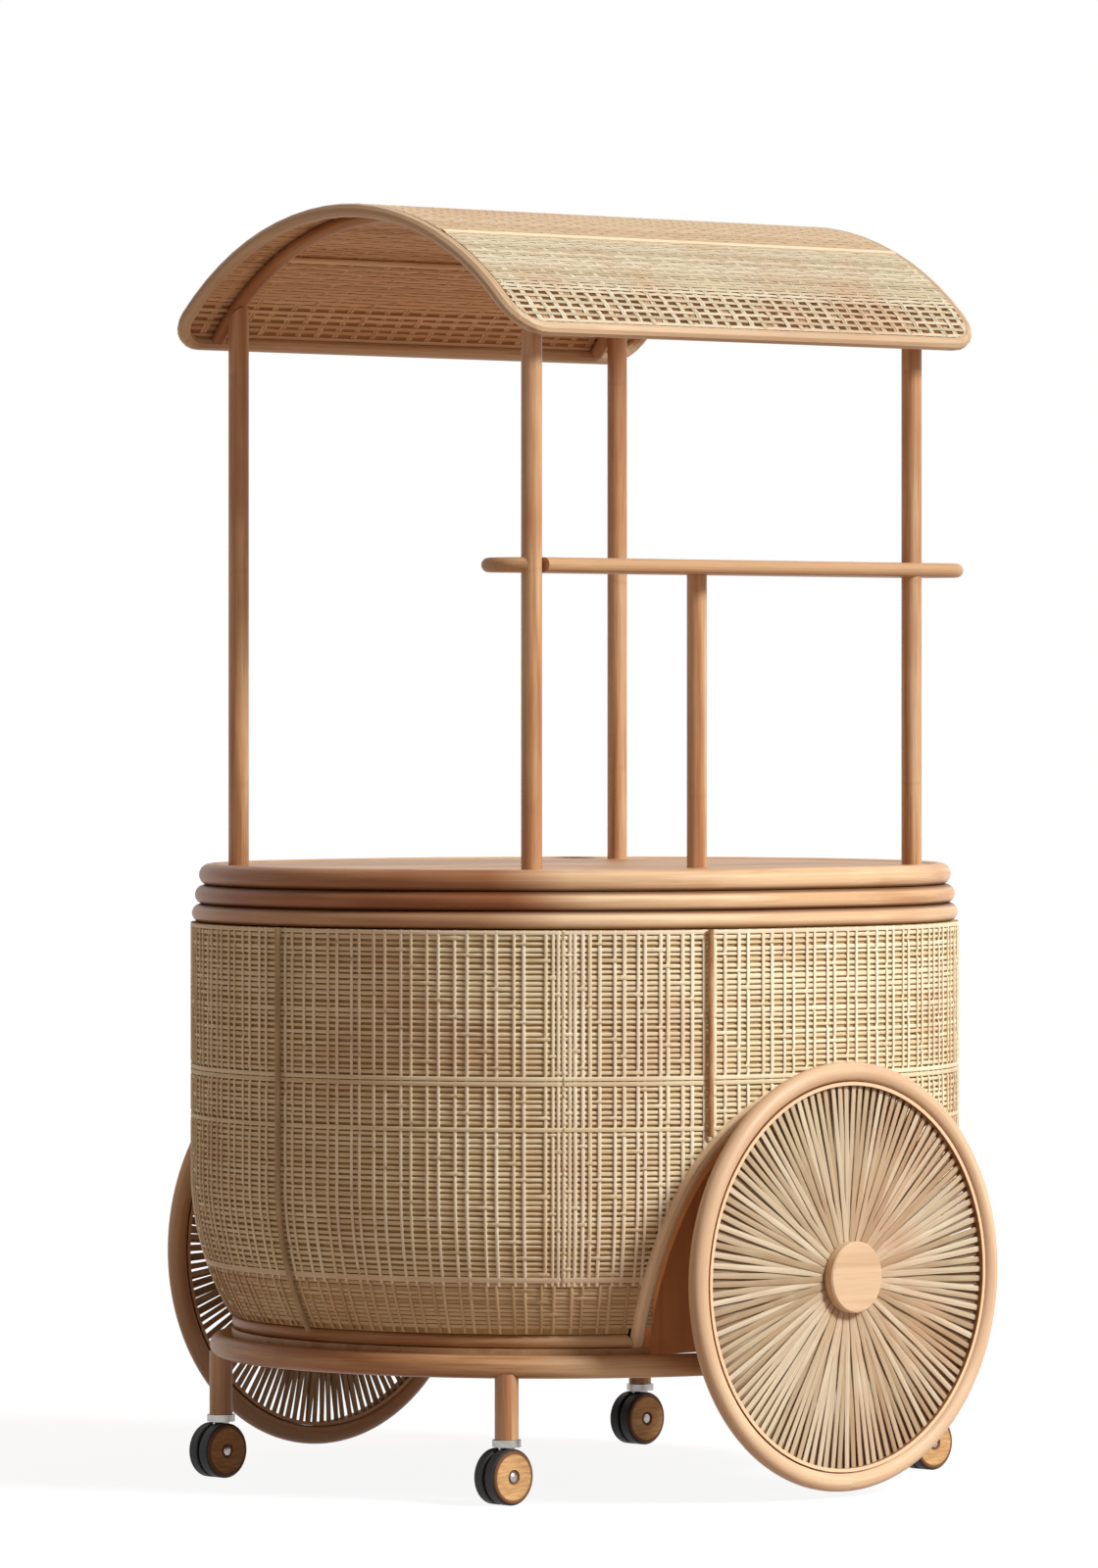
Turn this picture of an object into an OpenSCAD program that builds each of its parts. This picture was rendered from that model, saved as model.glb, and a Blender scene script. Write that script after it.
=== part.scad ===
// Rattan serving cart: an oval cane drum on a pole frame with four casters, two spoked
// side wheels, four posts, a cup shelf and a vaulted cane canopy.
// Long axis along X, near side at -Y, up along +Z, origin on the floor under the middle.

/* [Worktop] */
// Height of the crown of the worktop ring above the floor
worktop_h = 900; // [860:1:940]
// Diameter of the pole that edges the worktop
worktop_ring_d = 32; // [26:1:36]
// How far the worktop ring lies inside the drum's face
worktop_ring_inset = 12.7; // [11:0.1:16]
// Thickness of the worktop panel
worktop_t = 18; // [12:1:22]
// Drop of the worktop panel below the crown of its ring
worktop_drop = 3; // [1:0.5:5]
// Diameter of the upper collar pole
upper_collar_d = 28; // [22:1:32]
// How far the upper collar lies inside the drum's face
upper_collar_inset = 6.7; // [5:0.1:10]
// Diameter of the lower collar pole
lower_collar_d = 26; // [20:1:30]
// How far the lower collar lies inside the drum's face
lower_collar_inset = 2.2; // [0:0.1:4]

/* [Drum] */
// Half length of the straight part of the oval plan
plan_half = 60; // [45:1:90]
// Radius of the drum's face round the ends of the oval
drum_r = 523; // [515:1:528]
// Thickness of the woven cane
cane_t = 5; // [3:0.5:6]
// Thickness of the liner behind the cane
liner_t = 6; // [4:0.5:8]
// Height over which the foot of the drum curves in
taper_h = 210; // [160:1:240]
// How far the foot of the drum curves in
taper_in = 58; // [40:1:64]
// Diameter of the seam poles
seam_d = 8; // [6:0.5:10]
// Turn of the near seam pole from the near side, round the left end
seam_angle = 17; // [12:0.5:24]
// Diameter of the uprights inside the drum
upright_d = 24; // [18:1:28]
// Radius on which the uprights stand, from the centres of the oval
upright_path_r = 430; // [420:1:434]
// Turn of the corner uprights from the long axis
upright_angle = 50; // [44:1:54]

/* [Base] */
// Height of the middle of the base ring
base_ring_z = 195; // [185:1:200]
// Diameter of the base ring's pole
base_ring_d = 33; // [28:1:36]
// How far the base ring's centre line lies inside the drum's face
base_ring_inset = 45; // [42:1:50]
// Diameter of the bearers across the base ring
bearer_d = 24; // [18:1:28]
// Distance of each bearer from the long axis
bearer_y = 150; // [100:1:200]
// Thickness of the base panel
base_panel_t = 12; // [9:1:15]
// Diameter of the thin pole under the drum
bottom_ring_d = 20; // [16:1:22]
// How far the thin pole's centre line lies inside the drum's foot
bottom_ring_inset = 13; // [11:0.5:15]
// Diameter of the legs
leg_d = 34; // [28:1:36]
// Turn of the legs round the ends of the base ring
leg_angle = 40; // [36:0.5:44]
// How far the top of a leg reaches up round the base ring
leg_saddle = 7; // [4:0.5:10]

/* [Casters] */
// Diameter of the caster wheels
caster_d = 80; // [70:1:88]
// Width of each of the two tyres of a caster
tyre_w = 16.8; // [12:0.2:20]
// Thickness of the web between the tyres
caster_web_t = 4.4; // [3:0.2:6]
// Trail of the wheel behind its swivel
caster_trail = 6; // [0:0.5:12]
// Diameter of the wooden face discs
disc_d = 75; // [60:1:76]
// Thickness of the wooden face discs
disc_t = 5; // [4:0.2:7]
// Depth to which a face disc is let into its tyre
disc_seat = 2.4; // [1:0.2:3]
// Diameter of the dished recess in a face disc
dish_d = 22; // [18:0.5:28]
// Depth of the dished recess
dish_depth = 2.4; // [1.5:0.1:3]
// Diameter of the axle pin's heads
pin_head_d = 13; // [10:0.5:15]
// Diameter of the axle pin
pin_d = 8; // [6:0.5:9]
// Diameter of the swivel stem
stem_d = 11; // [9:0.5:14]
// Length of the stem inside the leg
stem_len = 40; // [30:1:50]
// Diameter of the steel cup under the leg
cup_d = 41; // [38:1:44]
// Height of the steel cup
cup_h = 10; // [8:0.5:13]

/* [Side wheels] */
// Outer radius of the side wheels
wheel_r = 307; // [300:1:312]
// Height of the axle
axle_z = 316; // [313:1:322]
// Distance of the middle of each wheel from the long axis
wheel_y = 560; // [556:1:580]
// Diameter of the rim's pole
wheel_rim_d = 28; // [22:1:30]
// Thickness of the inner hoop
hoop_t = 5; // [4:0.5:7]
// Width of the inner hoop
hoop_w = 18; // [12:1:20]
// Number of spokes in each of three layers
spokes_per_layer = 37; // [30:1:40]
// Diameter of a spoke
spoke_d = 5.4; // [4:0.2:6]
// Distance between the layers of spokes at the hub
spoke_layer = 5.7; // [5.5:0.1:6]
// Radius of the hub barrel
hub_r = 46; // [44:1:49]
// Diameter of the hub cap
hub_cap_d = 102; // [100:1:110]
// Thickness of the hub cap
hub_cap_t = 15; // [12:1:18]
// Diameter of the axle
axle_d = 16; // [12:1:20]
// Outer diameter of the spacers on the axle
spacer_d = 40; // [34:1:50]
// Diameter of the axle nuts
axle_nut_d = 27; // [24:1:30]
// Thickness of the axle nuts
axle_nut_t = 4; // [3:0.5:5]
// Side of the square axle blocks
axle_block_w = 84; // [70:1:100]
// Thickness of the axle blocks
axle_block_t = 38; // [30:1:50]

/* [Wheel arches] */
// Radius of the arch pole's centre line round the axle
arch_r = 280; // [262:1:282]
// Diameter of the arch pole
arch_pole_d = 20; // [16:1:22]
// How far the arch pole's centre line lies inside the drum's face
arch_pole_inset = 4; // [2:0.5:6]
// Distance of the recessed panel's face from the long axis
well_y = 405; // [392:1:406]
// Thickness of the recessed panel
well_panel_t = 12; // [9:1:15]
// Thickness of the wall round the recess
well_wall_t = 8; // [6:1:10]

/* [Posts and shelf] */
// Diameter of the posts
post_d = 30; // [24:1:32]
// Distance of the posts from the middle along the cart
post_x = 385; // [365:1:390]
// Distance of the posts from the middle across the cart
post_y = 315; // [308:1:322]
// Depth that the posts stand in the worktop
post_sink = 11; // [8:0.5:11]
// Height of the underside of the shelf
shelf_z = 1322; // [1250:1:1400]
// Thickness of the shelf
shelf_t = 21; // [16:1:26]
// Width of the shelf
shelf_w = 120; // [116:1:130]
// Length of the shelf
shelf_len = 934; // [900:1:950]
// Place of the shelf's middle along the cart
shelf_x = 42; // [30:1:50]
// Distance of the shelf's near edge outside the posts' centres
shelf_edge = 21; // [19:0.5:26]
// Diameter of the short post
shelf_post_d = 29; // [22:1:30]
// Place of the short post along the cart
shelf_post_x = -20; // [-80:1:80]

/* [Canopy] */
// Height of the crown of the canopy's cane
canopy_h = 1855; // [1800:1:1900]
// Radius of the vault at the middle of its cane
canopy_r = 483; // [465:1:490]
// Half angle of the vault
canopy_half_angle = 51.5; // [50:0.5:55]
// Length of the canopy over its rim
canopy_len = 945; // [915:1:980]
// Thickness of the canopy's cane
canopy_t = 5; // [3:0.5:6]
// Diameter of the canopy rim's pole
canopy_rim_d = 20; // [16:1:24]
// Radius of the rim's corners
canopy_corner_r = 50; // [40:1:90]
// Diameter of the ribs
rib_d = 20; // [16:1:24]
// Diameter of the purlins
purlin_d = 8; // [6:1:18]
// Angle of the purlins from the crown
purlin_angle = 29; // [20:0.5:34]

/* [Fits] */
// Gap between pieces that are seated on each other
fit = 0.3; // [0.2:0.05:0.4]
// Radial clearance of a shaft in its bore
running = 0.05; // [0.02:0.01:0.08]

/* [Hidden] */

// Smoothness of round pieces
$fn = 48;

// Steps of the curved foot in the drum's outline
taper_steps = 8;
// Rings and sides of the swept poles
arch_steps = 36;
corner_steps = 7;
vault_steps = 22;
pole_sides = 10;
// How far the canopy cane's straight edges stand back from its rounded corners
corner_lap = 1;
// A length past the part that is cut, so that cuts run right through
past = 10;

// Worktop rings, each seated on the one below
worktop_ring_r = drum_r - worktop_ring_inset - worktop_ring_d / 2;
upper_collar_r = drum_r - upper_collar_inset - upper_collar_d / 2;
lower_collar_r = drum_r - lower_collar_inset - lower_collar_d / 2;
function stack_drop(d1, d2, r1, r2) =
    sqrt(pow((d1 + d2) / 2 + fit, 2) - pow(r1 - r2, 2));
worktop_ring_z = worktop_h - worktop_ring_d / 2;
upper_collar_z = worktop_ring_z
    - stack_drop(worktop_ring_d, upper_collar_d, worktop_ring_r, upper_collar_r);
lower_collar_z = upper_collar_z
    - stack_drop(upper_collar_d, lower_collar_d, upper_collar_r, lower_collar_r);
worktop_top = worktop_h - worktop_drop;
worktop_under = worktop_top - worktop_t;
worktop_panel_r = worktop_ring_r - worktop_ring_d / 2 - fit;

// Base, from the base ring up
base_ring_r = drum_r - base_ring_inset;
base_panel_z = base_ring_z + bearer_d / 2 + fit;
base_panel_top = base_panel_z + base_panel_t;
bottom_ring_z = base_panel_top + fit + bottom_ring_d / 2;
bottom_ring_r = drum_r - taper_in - bottom_ring_inset;
base_panel_r = bottom_ring_r + bottom_ring_d / 2;

// Drum outline
drum_foot = bottom_ring_z + bottom_ring_d / 2 + fit;
drum_top = lower_collar_z - lower_collar_d / 2 - fit;
taper_top = drum_foot + taper_h;
taper_arc_r = (pow(taper_h, 2) + pow(taper_in, 2)) / (2 * taper_in);
function drum_r_at(z) =
    z < taper_top ? drum_r - taper_arc_r + sqrt(pow(taper_arc_r, 2) - pow(taper_top - z, 2)) : drum_r;
function drum_y_at(x, z) =
    sqrt(pow(drum_r_at(z), 2) - pow(max(abs(x) - plan_half, 0), 2));
drum_levels = concat(
    [for (i = [0 : taper_steps - 1]) drum_foot + taper_h * i / taper_steps],
    [taper_top, drum_top]
);

// Wheel arches
arch_cut_r = arch_r + arch_pole_d / 2 + fit;
well_out_r = arch_r - arch_pole_d / 2 - fit;
well_half = sqrt(pow(well_out_r, 2) - pow(axle_z - base_panel_top, 2));
well_back = well_y - well_panel_t;

// Legs and casters
leg_x = plan_half + base_ring_r * cos(leg_angle);
leg_y = base_ring_r * sin(leg_angle);
caster_r = caster_d / 2;
cup_gap = 2;
cup_z = caster_d + cup_gap;
leg_foot = cup_z + cup_h + fit;
tyre_in = caster_web_t / 2 + 0.4;
tyre_out = tyre_in + tyre_w;
tyre_edge = 3;
disc_in = tyre_out - disc_seat;
disc_out = disc_in + disc_t;
web_r = caster_r - 10;
neck_w = 28;

// Side wheels
hub_in = spoke_layer + spoke_d;
hub_out = spoke_layer + spoke_d / 2 + 0.6;
hub_bite = 3;
hoop_out_r = wheel_r - wheel_rim_d - fit;
spoke_end_r = hoop_out_r - hoop_t - fit;
spoke_count = 3 * spokes_per_layer;
spoke_tilt = atan(spoke_layer / (spoke_end_r - hub_r));
cap_edge = 2;
nut_gap = 2;
axle_half = wheel_y + hub_out + fit + axle_nut_t + nut_gap / 2;

// Shelf and posts
shelf_y = -post_y - shelf_edge + shelf_w / 2;
shelf_half = (shelf_len - shelf_w) / 2;
post_hole_r = post_d / 2 + fit;

// Canopy
vault_z = canopy_h - canopy_t / 2 - canopy_r;
vault_out_r = canopy_r + canopy_t / 2;
vault_in_r = canopy_r - canopy_t / 2;
rim_r = vault_out_r - canopy_rim_d / 2;
rim_half = (canopy_len - canopy_rim_d) / 2;
rim_reach = rim_r * canopy_half_angle * PI / 180;
rim_seat = sqrt(canopy_t * (canopy_rim_d - canopy_t)) + fit;
corner_turn = canopy_half_angle - canopy_corner_r / rim_r * 180 / PI;
cane_corner_r = canopy_corner_r - rim_seat;
rib_r = vault_in_r - fit - rib_d / 2;
rib_half_angle = canopy_half_angle - (canopy_rim_d / 2 + fit) / rib_r * 180 / PI;
purlin_r = vault_in_r - fit - purlin_d / 2;
purlin_half = post_x - rib_d / 2 - fit;

cane = [0.88, 0.80, 0.62];
pole = [0.80, 0.60, 0.41];
wood = [0.84, 0.65, 0.45];
liner = [0.42, 0.30, 0.20];
rubber = [0.09, 0.09, 0.09];
steel = [0.72, 0.72, 0.73];

// Sweeps a profile, drawn at its radius, round the oval plan
module oval_sweep() {
    for (turn = [0, 180])
        rotate([0, 0, turn]) {
            translate([plan_half, 0, 0])
                rotate([0, 0, -90])
                    rotate_extrude(angle = 180, $fn = 96)
                        children();
            translate([-plan_half, 0, 0])
                rotate([90, 0, 90])
                    linear_extrude(2 * plan_half)
                        children();
        }
}

// A pole bent round the oval plan
module oval_pole(r, z, d) {
    oval_sweep()
        translate([r, z])
            circle(d = d, $fn = 32);
}

// A flat oval board
module oval_board(r, z, t) {
    oval_sweep()
        translate([0, z])
            square([r, t]);
}

// A wall that follows the drum's outline, between two depths inside its face
module drum_wall(outer, inner) {
    oval_sweep()
        polygon(concat(
            [for (z = drum_levels) [drum_r_at(z) - outer, z]],
            [for (i = [len(drum_levels) - 1 : -1 : 0])
                [drum_r_at(drum_levels[i]) - inner, drum_levels[i]]]
        ));
}

// A round bar across the cart, through both wheel arches
module across(d, half) {
    translate([0, half, axle_z])
        rotate([90, 0, 0])
            cylinder(d = d, h = 2 * half, $fn = 96);
}

module at_side(side) {
    mirror([0, side > 0 ? 1 : 0, 0])
        children();
}

function unit(v) = v / norm(v);

// The rings of points of a pole along a path; out holds the outward direction at each point
function pole_points(path, out, d, closed) = [
    for (i = [0 : len(path) - 1])
        let (
            n = len(path),
            before = closed ? path[(i + n - 1) % n] : path[max(i - 1, 0)],
            after = closed ? path[(i + 1) % n] : path[min(i + 1, n - 1)],
            along = unit(after - before),
            side = unit(cross(along, out[i])),
            up = cross(side, along)
        )
        for (k = [0 : pole_sides - 1])
            path[i] + d / 2 * (cos(360 * k / pole_sides) * up + sin(360 * k / pole_sides) * side)
];

module pole_along(path, out, d, closed = false) {
    rings = len(path);
    spans = closed ? rings : rings - 1;
    walls = [
        for (i = [0 : spans - 1])
            for (k = [0 : pole_sides - 1])
                let (
                    j = (i + 1) % rings,
                    m = (k + 1) % pole_sides
                )
                [i * pole_sides + k, j * pole_sides + k, j * pole_sides + m, i * pole_sides + m]
    ];
    ends = closed ? [] : [
        [for (k = [0 : pole_sides - 1]) k],
        [for (k = [pole_sides - 1 : -1 : 0]) (rings - 1) * pole_sides + k]
    ];
    polyhedron(points = pole_points(path, out, d, closed), faces = concat(walls, ends), convexity = 10);
}

// Worktop
module worktop_panel() {
    color(wood)
        difference() {
            oval_board(worktop_panel_r, worktop_under, worktop_t);
            for (x = [-post_x, post_x])
                for (y = [-post_y, post_y])
                    post_socket(x, y, post_d);
            post_socket(shelf_post_x, shelf_y, shelf_post_d);
        }
}

module post_socket(x, y, d) {
    translate([x, y, worktop_top - post_sink - fit])
        cylinder(d = d + 2 * running, h = post_sink + fit + past);
}

module worktop_ring() {
    color(pole)
        oval_pole(worktop_ring_r, worktop_ring_z, worktop_ring_d);
}

module upper_collar() {
    color(pole)
        oval_pole(upper_collar_r, upper_collar_z, upper_collar_d);
}

module lower_collar() {
    color(pole)
        oval_pole(lower_collar_r, lower_collar_z, lower_collar_d);
}

// Drum
module drum_cane() {
    color(cane)
        difference() {
            drum_wall(0, cane_t);
            across(2 * arch_cut_r, drum_r + past);
        }
}

module drum_liner() {
    color(liner)
        difference() {
            drum_wall(cane_t + fit, cane_t + fit + liner_t);
            across(2 * arch_cut_r, drum_r + past);
        }
}

// A pole over each joint of the cane: one at each end, one at each side
module seam_poles() {
    color(pole)
        for (turn = [0, 180])
            rotate([0, 0, turn]) {
                end_seam_pole();
                side_seam_pole();
            }
}

module end_seam_pole() {
    seam_out = seam_d / 2 + fit;
    translate([-plan_half - drum_r - seam_out, 0, taper_top])
        cylinder(d = seam_d, h = drum_top - taper_top);
    translate([-plan_half - drum_r + taper_arc_r, 0, taper_top])
        rotate([-90, 0, 0])
            rotate([0, 0, 180 - asin(taper_h / taper_arc_r)])
                rotate_extrude(angle = asin(taper_h / taper_arc_r), $fn = 96)
                    translate([taper_arc_r + seam_out, 0])
                        circle(d = seam_d, $fn = 24);
}

module side_seam_pole() {
    seam_r = drum_r + seam_d / 2 + fit;
    seam_x = plan_half + seam_r * sin(seam_angle);
    seam_foot = axle_z + sqrt(pow(arch_cut_r + seam_d / 2, 2) - pow(seam_x - seam_d / 2, 2));
    translate([-seam_x, -seam_r * cos(seam_angle), seam_foot])
        cylinder(d = seam_d, h = drum_top - seam_foot);
}

module frame_uprights() {
    color(pole)
        for (turn = [0, 180])
            rotate([0, 0, turn])
                for (a = [-upright_angle, 0, upright_angle])
                    translate([
                        plan_half + upright_path_r * cos(a),
                        upright_path_r * sin(a),
                        base_panel_top + fit
                    ])
                        cylinder(d = upright_d, h = worktop_under - base_panel_top - 2 * fit);
}

// Base
module base_panel() {
    notch_depth = base_panel_r - well_back + past;
    color(wood)
        difference() {
            oval_board(base_panel_r, base_panel_z, base_panel_t);
            for (side = [-1, 1])
                at_side(side)
                    translate([-well_half, -well_back + fit - notch_depth, base_panel_z - past])
                        cube([2 * well_half, notch_depth, base_panel_t + 2 * past]);
        }
}

module bottom_ring() {
    color(pole)
        difference() {
            oval_pole(bottom_ring_r, bottom_ring_z, bottom_ring_d);
            across(2 * arch_cut_r, drum_r + past);
        }
}

module base_ring() {
    color(pole)
        oval_pole(base_ring_r, base_ring_z, base_ring_d);
}

module base_bearers() {
    reach = base_ring_r - base_ring_d / 2 - fit;
    color(pole)
        intersection() {
            for (y = [-bearer_y, bearer_y])
                translate([-plan_half - reach, y, base_ring_z])
                    rotate([0, 90, 0])
                        cylinder(d = bearer_d, h = 2 * (plan_half + reach));
            oval_board(reach, base_ring_z - bearer_d, 2 * bearer_d);
        }
}

// Wheel arches
module arch_pole(side) {
    foot_angle = asin((axle_z - base_panel_top - fit) / arch_r);
    sweep = 180 + 2 * foot_angle;
    path = [
        for (i = [0 : arch_steps])
            let (
                a = -foot_angle + sweep * i / arch_steps,
                x = arch_r * cos(a),
                z = axle_z + arch_r * sin(a)
            )
            [x, -drum_y_at(x, z) + arch_pole_inset, z]
    ];
    out = [for (p = path) [0, -1, 0]];
    at_side(side)
        color(pole)
            difference() {
                pole_along(path, out, arch_pole_d);
                translate([-drum_r, -drum_r - past, base_panel_z - past])
                    cube([2 * drum_r, drum_r, base_panel_t + past + fit]);
            }
}

module arch_pole_near() {
    arch_pole(-1);
}

module arch_pole_far() {
    arch_pole(1);
}

// A flat panel with a wall round it, set back into the drum behind the wheel
module wheel_well(side) {
    at_side(side)
        color(wood)
            difference() {
                union() {
                    intersection() {
                        across(2 * well_out_r, drum_r + past);
                        translate([-drum_r, -well_y, base_panel_top + fit])
                            cube([2 * drum_r, well_panel_t, 2 * drum_r]);
                    }
                    translate([-well_half + fit, -well_y, base_panel_z])
                        cube([2 * (well_half - fit), well_panel_t, 2 * base_panel_t]);
                    intersection() {
                        difference() {
                            across(2 * well_out_r, drum_r + past);
                            across(2 * (well_out_r - well_wall_t), drum_r + 2 * past);
                        }
                        drum_core(cane_t);
                        translate([-drum_r, -well_back - drum_r, base_panel_top + fit])
                            cube([2 * drum_r, drum_r, 2 * drum_r]);
                    }
                }
                across(axle_d + 2, drum_r + past);
            }
}

// The solid inside the drum's face, less a depth
module drum_core(depth) {
    oval_sweep()
        polygon(concat(
            [[0, base_panel_z]],
            [[drum_r_at(base_panel_z) - depth, base_panel_z]],
            [for (z = drum_levels) [drum_r_at(z) - depth, z]],
            [[0, drum_top]]
        ));
}

module wheel_well_near() {
    wheel_well(-1);
}

module wheel_well_far() {
    wheel_well(1);
}

// Axle
module axle() {
    color(steel)
        across(axle_d, axle_half);
}

module axle_blocks() {
    color(wood)
        for (side = [-1, 1])
            at_side(side)
                difference() {
                    translate([
                        -axle_block_w / 2,
                        -well_back + fit,
                        axle_z - axle_block_w / 2
                    ])
                        cube([axle_block_w, axle_block_t, axle_block_w]);
                    across(axle_d + 2 * running, drum_r);
                }
}

module axle_spacers() {
    color(wood)
        for (side = [-1, 1])
            at_side(side)
                translate([0, -well_y - fit, axle_z])
                    rotate([90, 0, 0])
                        tube(spacer_d, axle_d + 2 * running, wheel_y - hub_in - well_y - 2 * fit);
}

module axle_nuts() {
    color(steel)
        for (side = [-1, 1])
            at_side(side)
                translate([0, -wheel_y - hub_out - fit, axle_z])
                    rotate([90, 0, 0])
                        tube(axle_nut_d, axle_d + 2 * running, axle_nut_t);
}

module tube(outer_d, inner_d, h) {
    difference() {
        cylinder(d = outer_d, h = h);
        translate([0, 0, -past])
            cylinder(d = inner_d, h = h + 2 * past);
    }
}

// Legs, each coped under the base ring and bored for its caster
module leg(x, y) {
    color(pole)
        difference() {
            translate([x, y, leg_foot])
                cylinder(d = leg_d, h = base_ring_z - base_ring_d / 2 + leg_saddle - leg_foot);
            oval_pole(base_ring_r, base_ring_z, base_ring_d + 2 * fit);
            translate([x, y, leg_foot - past])
                cylinder(d = stem_d + 2 * running, h = stem_len + past + fit);
        }
}

module leg_near_left() {
    leg(-leg_x, -leg_y);
}

module leg_near_right() {
    leg(leg_x, -leg_y);
}

module leg_far_left() {
    leg(-leg_x, leg_y);
}

module leg_far_right() {
    leg(leg_x, leg_y);
}

// Posts, let into the worktop and coped under the ribs
module post(x, y) {
    foot = worktop_top - post_sink;
    color(pole)
        translate([x, y, 0])
            difference() {
                translate([0, 0, foot])
                    cylinder(d = post_d, h = canopy_h - foot);
                translate([0, -y, vault_z])
                    rotate([0, 90, 0])
                        difference() {
                            translate([-canopy_r - past, -canopy_r, -post_d])
                                cube([canopy_r + past, 2 * canopy_r, 2 * post_d]);
                            translate([0, 0, -post_d - past])
                                cylinder(r = rib_r - rib_d / 2 - fit, h = 2 * (post_d + past), $fn = 96);
                        }
            }
}

module post_near_left() {
    post(-post_x, -post_y);
}

module post_near_right() {
    post(post_x, -post_y);
}

module post_far_left() {
    post(-post_x, post_y);
}

module post_far_right() {
    post(post_x, post_y);
}

// Shelf with a bullnose edge, notched round one near post and bored for the other
module shelf_board() {
    edge_r = shelf_t / 2;
    color(wood)
        difference() {
            translate([shelf_x, shelf_y, shelf_z + edge_r]) {
                for (turn = [0, 180])
                    rotate([0, 0, turn]) {
                        translate([shelf_half, 0, 0])
                            rotate([0, 0, -90])
                                rotate_extrude(angle = 180, $fn = 64)
                                    shelf_profile(edge_r);
                        translate([-shelf_half, 0, 0])
                            rotate([90, 0, 90])
                                linear_extrude(2 * shelf_half)
                                    shelf_profile(edge_r);
                    }
            }
            translate([post_x, -post_y, shelf_z - past])
                cylinder(r = post_hole_r, h = shelf_t + 2 * past);
            translate([-post_x, -post_y, shelf_z - past]) {
                cylinder(r = post_hole_r, h = shelf_t + 2 * past);
                translate([-post_hole_r, -shelf_edge - past, 0])
                    cube([2 * post_hole_r, shelf_edge + past, shelf_t + 2 * past]);
            }
        }
}

module shelf_profile(edge_r) {
    edge = shelf_w / 2 - edge_r;
    polygon(concat(
        [[0, -edge_r]],
        [for (a = [-90 : 22.5 : 90]) [edge + edge_r * cos(a), edge_r * sin(a)]],
        [[0, edge_r]]
    ));
}

module shelf_post() {
    foot = worktop_top - post_sink;
    color(pole)
        translate([shelf_post_x, shelf_y, foot])
            cylinder(d = shelf_post_d, h = shelf_z - fit - foot);
}

// Canopy
module canopy_cane() {
    half = rim_half - rim_seat - corner_lap;
    edge_angle = corner_turn + asin((cane_corner_r - corner_lap) / vault_in_r);
    wedge = 2 * vault_out_r;
    color(cane)
        difference() {
            intersection() {
                along_vault(half)
                    tube(2 * vault_out_r, 2 * vault_in_r, 2 * half, $fn = 128);
                along_vault(half)
                    linear_extrude(2 * half)
                        polygon([
                            [0, 0],
                            [-wedge * sin(edge_angle), wedge * cos(edge_angle)],
                            [0, wedge],
                            [wedge * sin(edge_angle), wedge * cos(edge_angle)]
                        ]);
            }
            for (mx = [0, 1])
                for (my = [0, 1])
                    mirror([mx, 0, 0])
                        mirror([0, my, 0])
                            canopy_corner_cut();
        }
}

// Stands a shape up so that its height runs along the canopy
module along_vault(half) {
    translate([-half, 0, vault_z])
        rotate([90, 0, 90])
            children();
}

module canopy_corner_cut() {
    block = cane_corner_r + past;
    translate([
        rim_half - canopy_corner_r,
        canopy_r * sin(corner_turn),
        vault_z + canopy_r * cos(corner_turn)
    ])
        rotate([-corner_turn, 0, 0])
            difference() {
                translate([0, 0, -block / 2])
                    cube([block, block, block]);
                translate([0, 0, -block])
                    cylinder(r = cane_corner_r, h = 2 * block, $fn = 64);
            }
}

// The rim's path, drawn flat as a rounded rectangle and laid on the vault
function rim_corner(x, s, from) = [
    for (i = [0 : corner_steps])
        let (a = from + 90 * i / corner_steps)
        [x + canopy_corner_r * cos(a), s + canopy_corner_r * sin(a)]
];
function rim_flat_path() =
    let (
        x = rim_half - canopy_corner_r,
        s = rim_reach - canopy_corner_r
    )
    concat(
        rim_corner(x, s, 0),
        rim_corner(-x, s, 90),
        [for (i = [1 : vault_steps - 1]) [-rim_half, s - 2 * s * i / vault_steps]],
        rim_corner(-x, -s, 180),
        rim_corner(x, -s, 270),
        [for (i = [1 : vault_steps - 1]) [rim_half, -s + 2 * s * i / vault_steps]]
    );
function vault_out(s) =
    let (a = s / rim_r * 180 / PI)
    [0, sin(a), cos(a)];

module canopy_rim() {
    flat = rim_flat_path();
    path = [for (p = flat) [p[0], 0, vault_z] + rim_r * vault_out(p[1])];
    out = [for (p = flat) vault_out(p[1])];
    color(pole)
        pole_along(path, out, canopy_rim_d, true);
}

module canopy_rib(x) {
    color(pole)
        translate([x, 0, vault_z])
            rotate([90, 0, 90])
                rotate([0, 0, 90 - rib_half_angle])
                    rotate_extrude(angle = 2 * rib_half_angle, $fn = 128)
                        translate([rib_r, 0])
                            circle(d = rib_d, $fn = 32);
}

module canopy_rib_left() {
    canopy_rib(-post_x);
}

module canopy_rib_right() {
    canopy_rib(post_x);
}

module canopy_purlins() {
    color(pole)
        for (a = [-purlin_angle, purlin_angle])
            translate([-purlin_half, purlin_r * sin(a), vault_z + purlin_r * cos(a)])
                rotate([0, 90, 0])
                    cylinder(d = purlin_d, h = 2 * purlin_half);
}

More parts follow.
